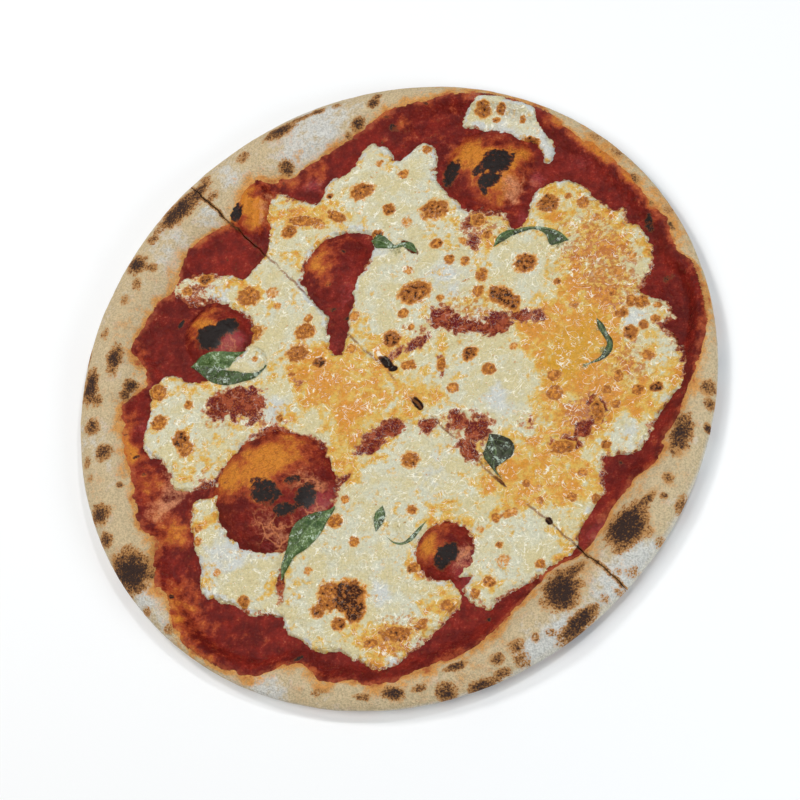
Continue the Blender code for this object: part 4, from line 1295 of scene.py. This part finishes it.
def dough_material():
    """Baked dough: floury and warm places, orange where the sauce ends, brown and black spots."""
    look = Look("baked_dough")
    grain = look.noise(0.8, 2, 0.6)
    pores = look.noise(1.6, 3, 0.65)
    coarse = look.noise(4.5, 3, 0.6)
    flour = look.mottled("flour", 1.0, (coarse, 2.4), (pores, 0.8))
    look.ground(look.between(flour, 0.10, 0.90), (206, 184, 146), (210, 207, 199))
    warm = look.mottled("warm", 0.8, (coarse, 2.6), (pores, 1.0))
    look.coat(look.between(warm, 0.30, 1.30), 206, 158, 102)
    stain = look.mottled("stain", 1.0, (coarse, 1.4), (pores, 0.8))
    look.coat(look.between(stain, 0.20, 0.85), 212, 152, 84)
    look.coat(look.between(stain, 0.85, 1.20), 176, 92, 54)
    # Painted light on the rim's outer side, which is made paler.
    look.coat(look.between(look.field("side"), 0.1, 0.9, 0.0, 0.8), 210, 203, 188)
    under = look.field("under")
    toast = look.between(look.sum((look.noise(14, 3, 0.6), 1.0), (pores, 0.3)), 0.62, 0.80)
    look.coat(look.times(toast, under), 196, 140, 84)
    leopard = look.between(look.sum((look.noise(8, 2, 0.5), 1.0), (grain, 0.3)), 0.72, 0.84)
    look.coat(look.times(leopard, under), 88, 58, 38)
    # The char field also carries the painted shade along the knife's cut.
    charred = look.between(look.field("char"), 0.02, 0.25)
    tan = look.mottled("char", 1.2, (grain, 1.0), (pores, 1.4))
    look.coat(look.times(look.between(tan, 0.05, 0.45), charred), 196, 142, 84)
    brown = look.mottled("char", 1.08, (grain, 1.9), (pores, 1.3))
    look.coat(look.times(look.between(brown, 0.32, 0.72), charred), 126, 84, 50)
    look.coat(look.times(look.between(brown, 0.66, 1.12), charred), 57, 42, 37)
    look.shade(look.between(look.sum((grain, 0.6), (pores, 0.4)), 0.34, 0.64, 0.82, 1.16))
    return look.finished(0.8, 0.12, look.sum((grain, 0.5), (pores, 0.9)), 1.1)


def sauce_material():
    """Tomato sauce, dark red to orange, with painted pale sheen, pale seams and charred places on the
    bubbles.
    """
    look = Look("tomato_sauce")
    grain = look.noise(0.9, 3, 0.7)
    lumps = look.noise(2.2, 3, 0.65)
    coarse = look.noise(5, 3, 0.6)
    wide = look.noise(18, 2, 0.5)
    look.ground(look.between(look.sum((coarse, 0.7), (wide, 0.4)), 0.42, 0.74), (94, 18, 12), (136, 33, 22))
    cherry = look.mottled("cherry", 1.0, (coarse, 1.2), (grain, 0.8))
    look.coat(look.between(cherry, 0.25, 0.9), 144, 24, 28)
    orange = look.mottled("orange", 1.0, (coarse, 1.6), (grain, 0.4))
    look.coat(look.between(orange, 0.26, 0.82), 164, 68, 34)
    look.coat(look.between(orange, 0.65, 1.20), 204, 126, 42)
    edge = look.mottled("edge", 0.9, (coarse, 1.4), (lumps, 0.6))
    look.coat(look.between(edge, 0.50, 1.25, 0.0, 0.7), 166, 84, 54)
    # Painted pale, pinkish sheen on the bubbles' flanks; the pale seams are laid where it lies.
    blush = look.mottled("blush", 1.0, (coarse, 1.8), (grain, 0.9))
    look.coat(look.between(blush, 0.25, 1.1), 202, 136, 98)
    bubble = look.between(look.field("bubble"), 0.3, 1.0)
    seams = look.between(look.field("blush"), 0.05, 0.5, 0.0, 0.7)
    seams = look.times(look.between(look.cells(8.0, 3.0), 0.09, 0.0), seams)
    look.coat(look.times(seams, bubble), 214, 132, 84)
    wrinkles = look.between(coarse, 0.44, 0.56, 0.0, 0.5)
    wrinkles = look.times(look.between(look.cells(3.2, 2.0), 0.14, 0.0), wrinkles)
    look.coat(look.times(wrinkles, bubble), 124, 42, 20)
    pale = look.times(look.between(grain, 0.56, 0.70), look.between(coarse, 0.3, 0.7, 0.0, 0.3))
    look.coat(pale, 190, 100, 66)
    # The char field also carries the painted shade along the knife's cut.
    tan = look.mottled("char", 1.0, (grain, 1.4), (lumps, 1.6))
    look.coat(look.between(tan, 0.2, 0.5), 120, 56, 28)
    black = look.mottled("char", 1.0, (grain, 2.4), (lumps, 1.8))
    look.coat(look.between(black, 0.42, 0.85), 36, 29, 27)
    look.shade(look.between(grain, 0.36, 0.64, 0.86, 1.14))
    roughness = look.between(cherry, 0.2, 0.9, 0.26, 0.14)
    shine = look.between(cherry, 0.2, 0.9, 0.12, 0.45)
    return look.finished(roughness, shine, look.sum((grain, 0.25), (lumps, 0.8)), 1.3)


def cheese_material():
    """Melted cheese: creamy, golden or thin, with browned blisters, and glints painted as fine pale lines.
    """
    look = Look("melted_cheese")
    grain = look.noise(0.8, 3, 0.7)
    blotch = look.noise(1.8, 3, 0.65)
    coarse = look.noise(4, 3, 0.6)
    wide = look.noise(11, 3, 0.6)
    # Glints painted into the colour as fine pale curved lines, long ones and short ones.
    painted_long_glints = look.times(look.lines(5.6, 0.013, 1.0, 1.4), look.between(look.noise(6, 2, 0.5), 0.44, 0.52))
    painted_short_glints = look.times(look.lines(2.8, 0.018, 1.0, 0.8), look.between(look.noise(2.8, 2, 0.5), 0.53, 0.60))
    look.ground(look.between(wide, 0.38, 0.62), (212, 198, 150), (211, 208, 182))
    # Whiter cheese, together with the painted highlight along the cheese's edges.
    white = look.mottled("white", 1.0, (wide, 1.6), (coarse, 1.2))
    look.coat(look.between(white, 0.15, 0.8), 206, 207, 200)
    gold = look.mottled("gold", 1.0, (wide, 2.2), (coarse, 1.6), (blotch, 1.0))
    look.coat(look.between(gold, 0.15, 0.65), 220, 177, 78)
    look.coat(look.between(gold, 0.55, 1.15), 216, 142, 40)
    yellow = look.mottled("yellow", 1.0, (blotch, 1.4), (coarse, 1.0))
    look.coat(look.between(yellow, 0.30, 1.0, 0.0, 0.95), 212, 152, 24)
    rough = look.field("rough")
    rusty = look.between(look.sum((blotch, 1.4), (coarse, 0.8), (rough, 0.35)), 1.22, 1.50)
    rusty = look.times(rusty, look.between(rough, 0.1, 0.7, 0.0, 0.75))
    look.coat(rusty, 182, 100, 46)
    thin = look.mottled("thin", 1.0, (coarse, 1.2), (blotch, 1.8))
    look.coat(look.between(thin, 0.32, 0.60), 192, 124, 80)
    look.coat(look.between(thin, 0.52, 0.90), 108, 32, 20)
    purple = look.times(look.between(thin, 0.70, 1.1), look.between(coarse, 0.52, 0.62))
    look.coat(purple, 104, 26, 32)
    rosy = look.times(look.between(thin, 0.55, 0.95, 0.0, 0.75), look.between(coarse, 0.52, 0.40))
    look.coat(rosy, 172, 82, 54)
    rust = look.times(look.between(grain, 0.50, 0.62), look.between(thin, 0.5, 0.9, 0.0, 0.6))
    look.coat(rust, 184, 98, 46)
    green = look.mottled("green", 1.0, (blotch, 1.6))
    look.coat(look.between(green, 0.3, 0.9), 118, 118, 70)
    halo = look.mottled("near", 1.0, (blotch, 2.0))
    look.coat(look.between(halo, 0.25, 0.85, 0.0, 0.85), 220, 160, 70)
    spot = look.mottled("spot", 1.0, (blotch, 1.0), (grain, 0.6))
    look.coat(look.between(spot, 0.14, 0.40), 220, 146, 60)
    ring = look.mottled("ring", 0.8, (blotch, 1.6), (grain, 1.0))
    ring = look.times(look.between(ring, 0.3, 0.8), look.between(look.field("near"), 0.4, 0.9, 0.0, 0.85))
    look.coat(ring, 140, 74, 28)
    dark = look.mottled("spot", 1.2, (grain, 1.8), (blotch, 3.4))
    on_spot = look.between(look.field("spot"), 0.15, 0.5)
    look.coat(look.times(look.between(dark, 0.36, 0.80), on_spot), 166, 98, 42)
    look.coat(look.times(look.between(dark, 1.00, 1.42), on_spot), 60, 30, 17)
    burnt = look.mottled("burnt", 1.0, (grain, 1.0))
    look.coat(look.between(burnt, 0.10, 0.40), 112, 60, 30)
    look.coat(look.between(burnt, 0.40, 0.75), 34, 21, 16)
    # Painted shade in the groove along the knife's cut.
    look.coat(look.between(look.field("groove"), 0.12, 0.45, 0.0, 0.75), 140, 84, 40)
    # The painted glints are laid on as near white where no blister, thin skin or burnt hole lies.
    clear = look.sum((look.field("spot"), 1.6), (look.field("thin"), 0.7), (look.field("burnt"), 2.0))
    clear = look.between(clear, 0.1, 1.0, 1.0, 0.12)
    look.coat(look.times(look.sum((painted_long_glints, 0.7), (painted_short_glints, 0.6)), clear), 255, 250, 232)
    look.shade(look.between(grain, 0.36, 0.64, 0.88, 1.10))
    roughness = look.between(blotch, 0.40, 0.62, 0.22, 0.12)
    shine = look.between(clear, 0.2, 1.0, 0.12, 0.5)
    return look.finished(roughness, shine, look.sum((grain, 0.08), (blotch, 0.6), (coarse, 1.0)), 2.0)


def basil_material():
    """Wilted basil, mottled green with darker halves and pale glints."""
    look = Look("basil_leaf")
    grain = look.noise(0.8, 3, 0.7)
    coarse = look.noise(3.0, 3, 0.6)
    look.ground(look.between(coarse, 0.36, 0.64), (60, 86, 38), (116, 138, 82))
    dark = look.mottled("dark", 1.0, (coarse, 2.0))
    look.coat(look.between(dark, 0.25, 0.9), 38, 38, 15)
    look.coat(look.between(look.field("vein"), 0.2, 1.0, 0.0, 0.3), 140, 160, 110)
    # Pale, bluish glints painted on the leaves.
    painted_leaf_glints = look.between(look.sum((grain, 0.7), (coarse, 1.3)), 1.06, 1.22, 0.0, 0.7)
    look.coat(painted_leaf_glints, 186, 202, 182)
    look.shade(look.between(grain, 0.38, 0.62, 0.65, 1.25))
    return look.finished(0.2, 0.35, look.sum((grain, 0.2), (coarse, 1.0)), 1.0)


def floor_material():
    """Plain and nearly white."""
    look = Look("pale_floor")
    look.use("Base Color", (0.92, 0.92, 0.92, 1))
    look.use("Roughness", 0.9)
    return look.material


# ---- Building ---------------------------------------------------------------------------------


def knife_gap(along):
    """How far the knife's cut stands open along its path."""
    start, end = CUT_CLOSED
    open_here = np.maximum(smooth((start - along) / CUT_OPENING), smooth((along - end) / CUT_OPENING))
    return KNIFE_GAP * (CLOSED_SHARE + (1 - CLOSED_SHARE) * open_here)


def sauce_gap(along):
    """How far the sauce's two sides stand apart."""
    return knife_gap(along) + SAUCE_GAP_MORE


def cheese_gap(along):
    """How far the cheese's two sides stand apart."""
    return CHEESE_GAP_SHARE * knife_gap(along) + CHEESE_GAP_MORE


def build_pizza():
    """Makes all the pieces, layer by layer from the bottom up."""
    dough_look, sauce_look, cheese_look = dough_material(), sauce_material(), cheese_material()
    sides = ("north_east", "south_west")
    for side, mesh in zip(sides, cut_in_two(dough_mesh(), knife_gap)):
        finish_piece("dough_" + side, mesh, dough_look, "dough", "crust_" + side)
    sauce = layer_mesh("sauce", SAUCE_STEP, SAUCE_UNDERSIDE, sauce_cover, sauce_surface)
    for side, mesh in zip(sides, cut_in_two(sauce, sauce_gap)):
        finish_piece("tomato_" + side, mesh, sauce_look, "sauce", "sauce_" + side)
    main = cheese_mesh([CHEESE_MAIN], WINDOWS, LEAF_COVER)
    for side, mesh in zip(sides, cut_in_two(main, cheese_gap)):
        finish_piece("melted_" + side, mesh, cheese_look, "cheese", "cheese_" + side)
    north = cheese_mesh([CHEESE_NORTH], [])
    finish_piece("melted_north", north, cheese_look, "cheese", "cheese_north")
    basil_look = basil_material()
    for name, nodes, lift, darkness, midrib in LEAVES:
        finish_piece(name, leaf_mesh(name, lift, darkness, midrib), basil_look, "basil", *nodes)


# ---- Stage ------------------------------------------------------------------------------------
CAMERA_AZIMUTH, CAMERA_HEIGHT, CAMERA_ROLL = 39.934, 62.900, -39.934
CAMERA_DISTANCE, CAMERA_LENS, CAMERA_SENSOR = 0.8, 80.516, 36
CAMERA_AIM = 0.01265         # the aim lies this far from the centre towards the camera
AIM_HEIGHT = 0.005
FLOOR_SIZE = 40
SKY_COLOUR, SKY_STRENGTH = (0.95, 0.98, 1.0, 1), 0.25
# Lights: name, azimuth, height, distance, size, power, colour.
LIGHTS = [
    ("key", 290, 61, 1.2, 0.8, 5.9, (1.0, 0.975, 0.94)),
    ("cool_side", 65, 24, 1.0, 0.4, 4.0, (0.84, 0.93, 1.0)),
    ("sparkle_back", 226, 52, 1.1, 0.22, 3.6, (1.0, 1.0, 1.0)),
    ("sparkle_right", 130, 55, 1.1, 0.10, 2.4, (0.92, 0.96, 1.0)),
]


def direction(azimuth, height):
    """Unit vector from the pizza towards a place; azimuth 0 is the -Y side and 90 the +X side."""
    a, h = math.radians(azimuth), math.radians(height)
    return Vector((math.sin(a) * math.cos(h), -math.cos(a) * math.cos(h), math.sin(h)))


def add_camera():
    """The view from which the pizza is shown, nearly from above and turned so that +Y is up."""
    data = bpy.data.cameras.new("camera")
    data.lens = CAMERA_LENS
    data.sensor_width = CAMERA_SENSOR
    camera = bpy.data.objects.new("camera", data)
    bpy.context.scene.collection.objects.link(camera)
    low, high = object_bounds()
    middle = Vector(((low[0] + high[0]) / 2, (low[1] + high[1]) / 2, low[2] + AIM_HEIGHT))
    aim = middle + CAMERA_AIM * direction(CAMERA_AZIMUTH, 0)
    back = direction(CAMERA_AZIMUTH, CAMERA_HEIGHT)
    level = Vector((math.cos(math.radians(CAMERA_AZIMUTH)), math.sin(math.radians(CAMERA_AZIMUTH)), 0))
    turn = Matrix.Rotation(math.radians(CAMERA_ROLL), 3, back)
    right = turn @ level
    up = turn @ back.cross(level)
    rotation = Matrix((right, up, back)).transposed().to_4x4()
    camera.matrix_world = Matrix.Translation(aim + CAMERA_DISTANCE * back) @ rotation
    bpy.context.scene.camera = camera


def add_light(name, azimuth, height, distance, size, power, colour):
    """A round soft light that faces the pizza's centre."""
    data = bpy.data.lights.new(name, "AREA")
    data.shape = "DISK"
    data.size = size
    data.energy = power
    data.color = colour
    light = bpy.data.objects.new(name, data)
    bpy.context.scene.collection.objects.link(light)
    towards = direction(azimuth, height)
    light.location = distance * towards
    light.rotation_euler = towards.to_track_quat("Z", "Y").to_euler()


def add_stage():
    """The pale floor, the even light of the room and the lights."""
    bpy.ops.mesh.primitive_plane_add(size=FLOOR_SIZE, location=(0, 0, CAD_BOX[0][2]))
    floor = bpy.context.object
    floor.name = "floor"
    floor.data.materials.append(floor_material())
    floor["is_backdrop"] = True
    world = bpy.data.worlds.new("studio")
    world.use_nodes = True
    sky = world.node_tree.nodes["Background"]
    sky.inputs["Color"].default_value = SKY_COLOUR
    sky.inputs["Strength"].default_value = SKY_STRENGTH
    bpy.context.scene.world = world
    for light in LIGHTS:
        add_light(*light)
    bpy.context.scene.view_settings.view_transform = "Standard"


def main():
    """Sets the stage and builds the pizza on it."""
    add_camera()
    add_stage()
    build_pizza()
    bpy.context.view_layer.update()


main()
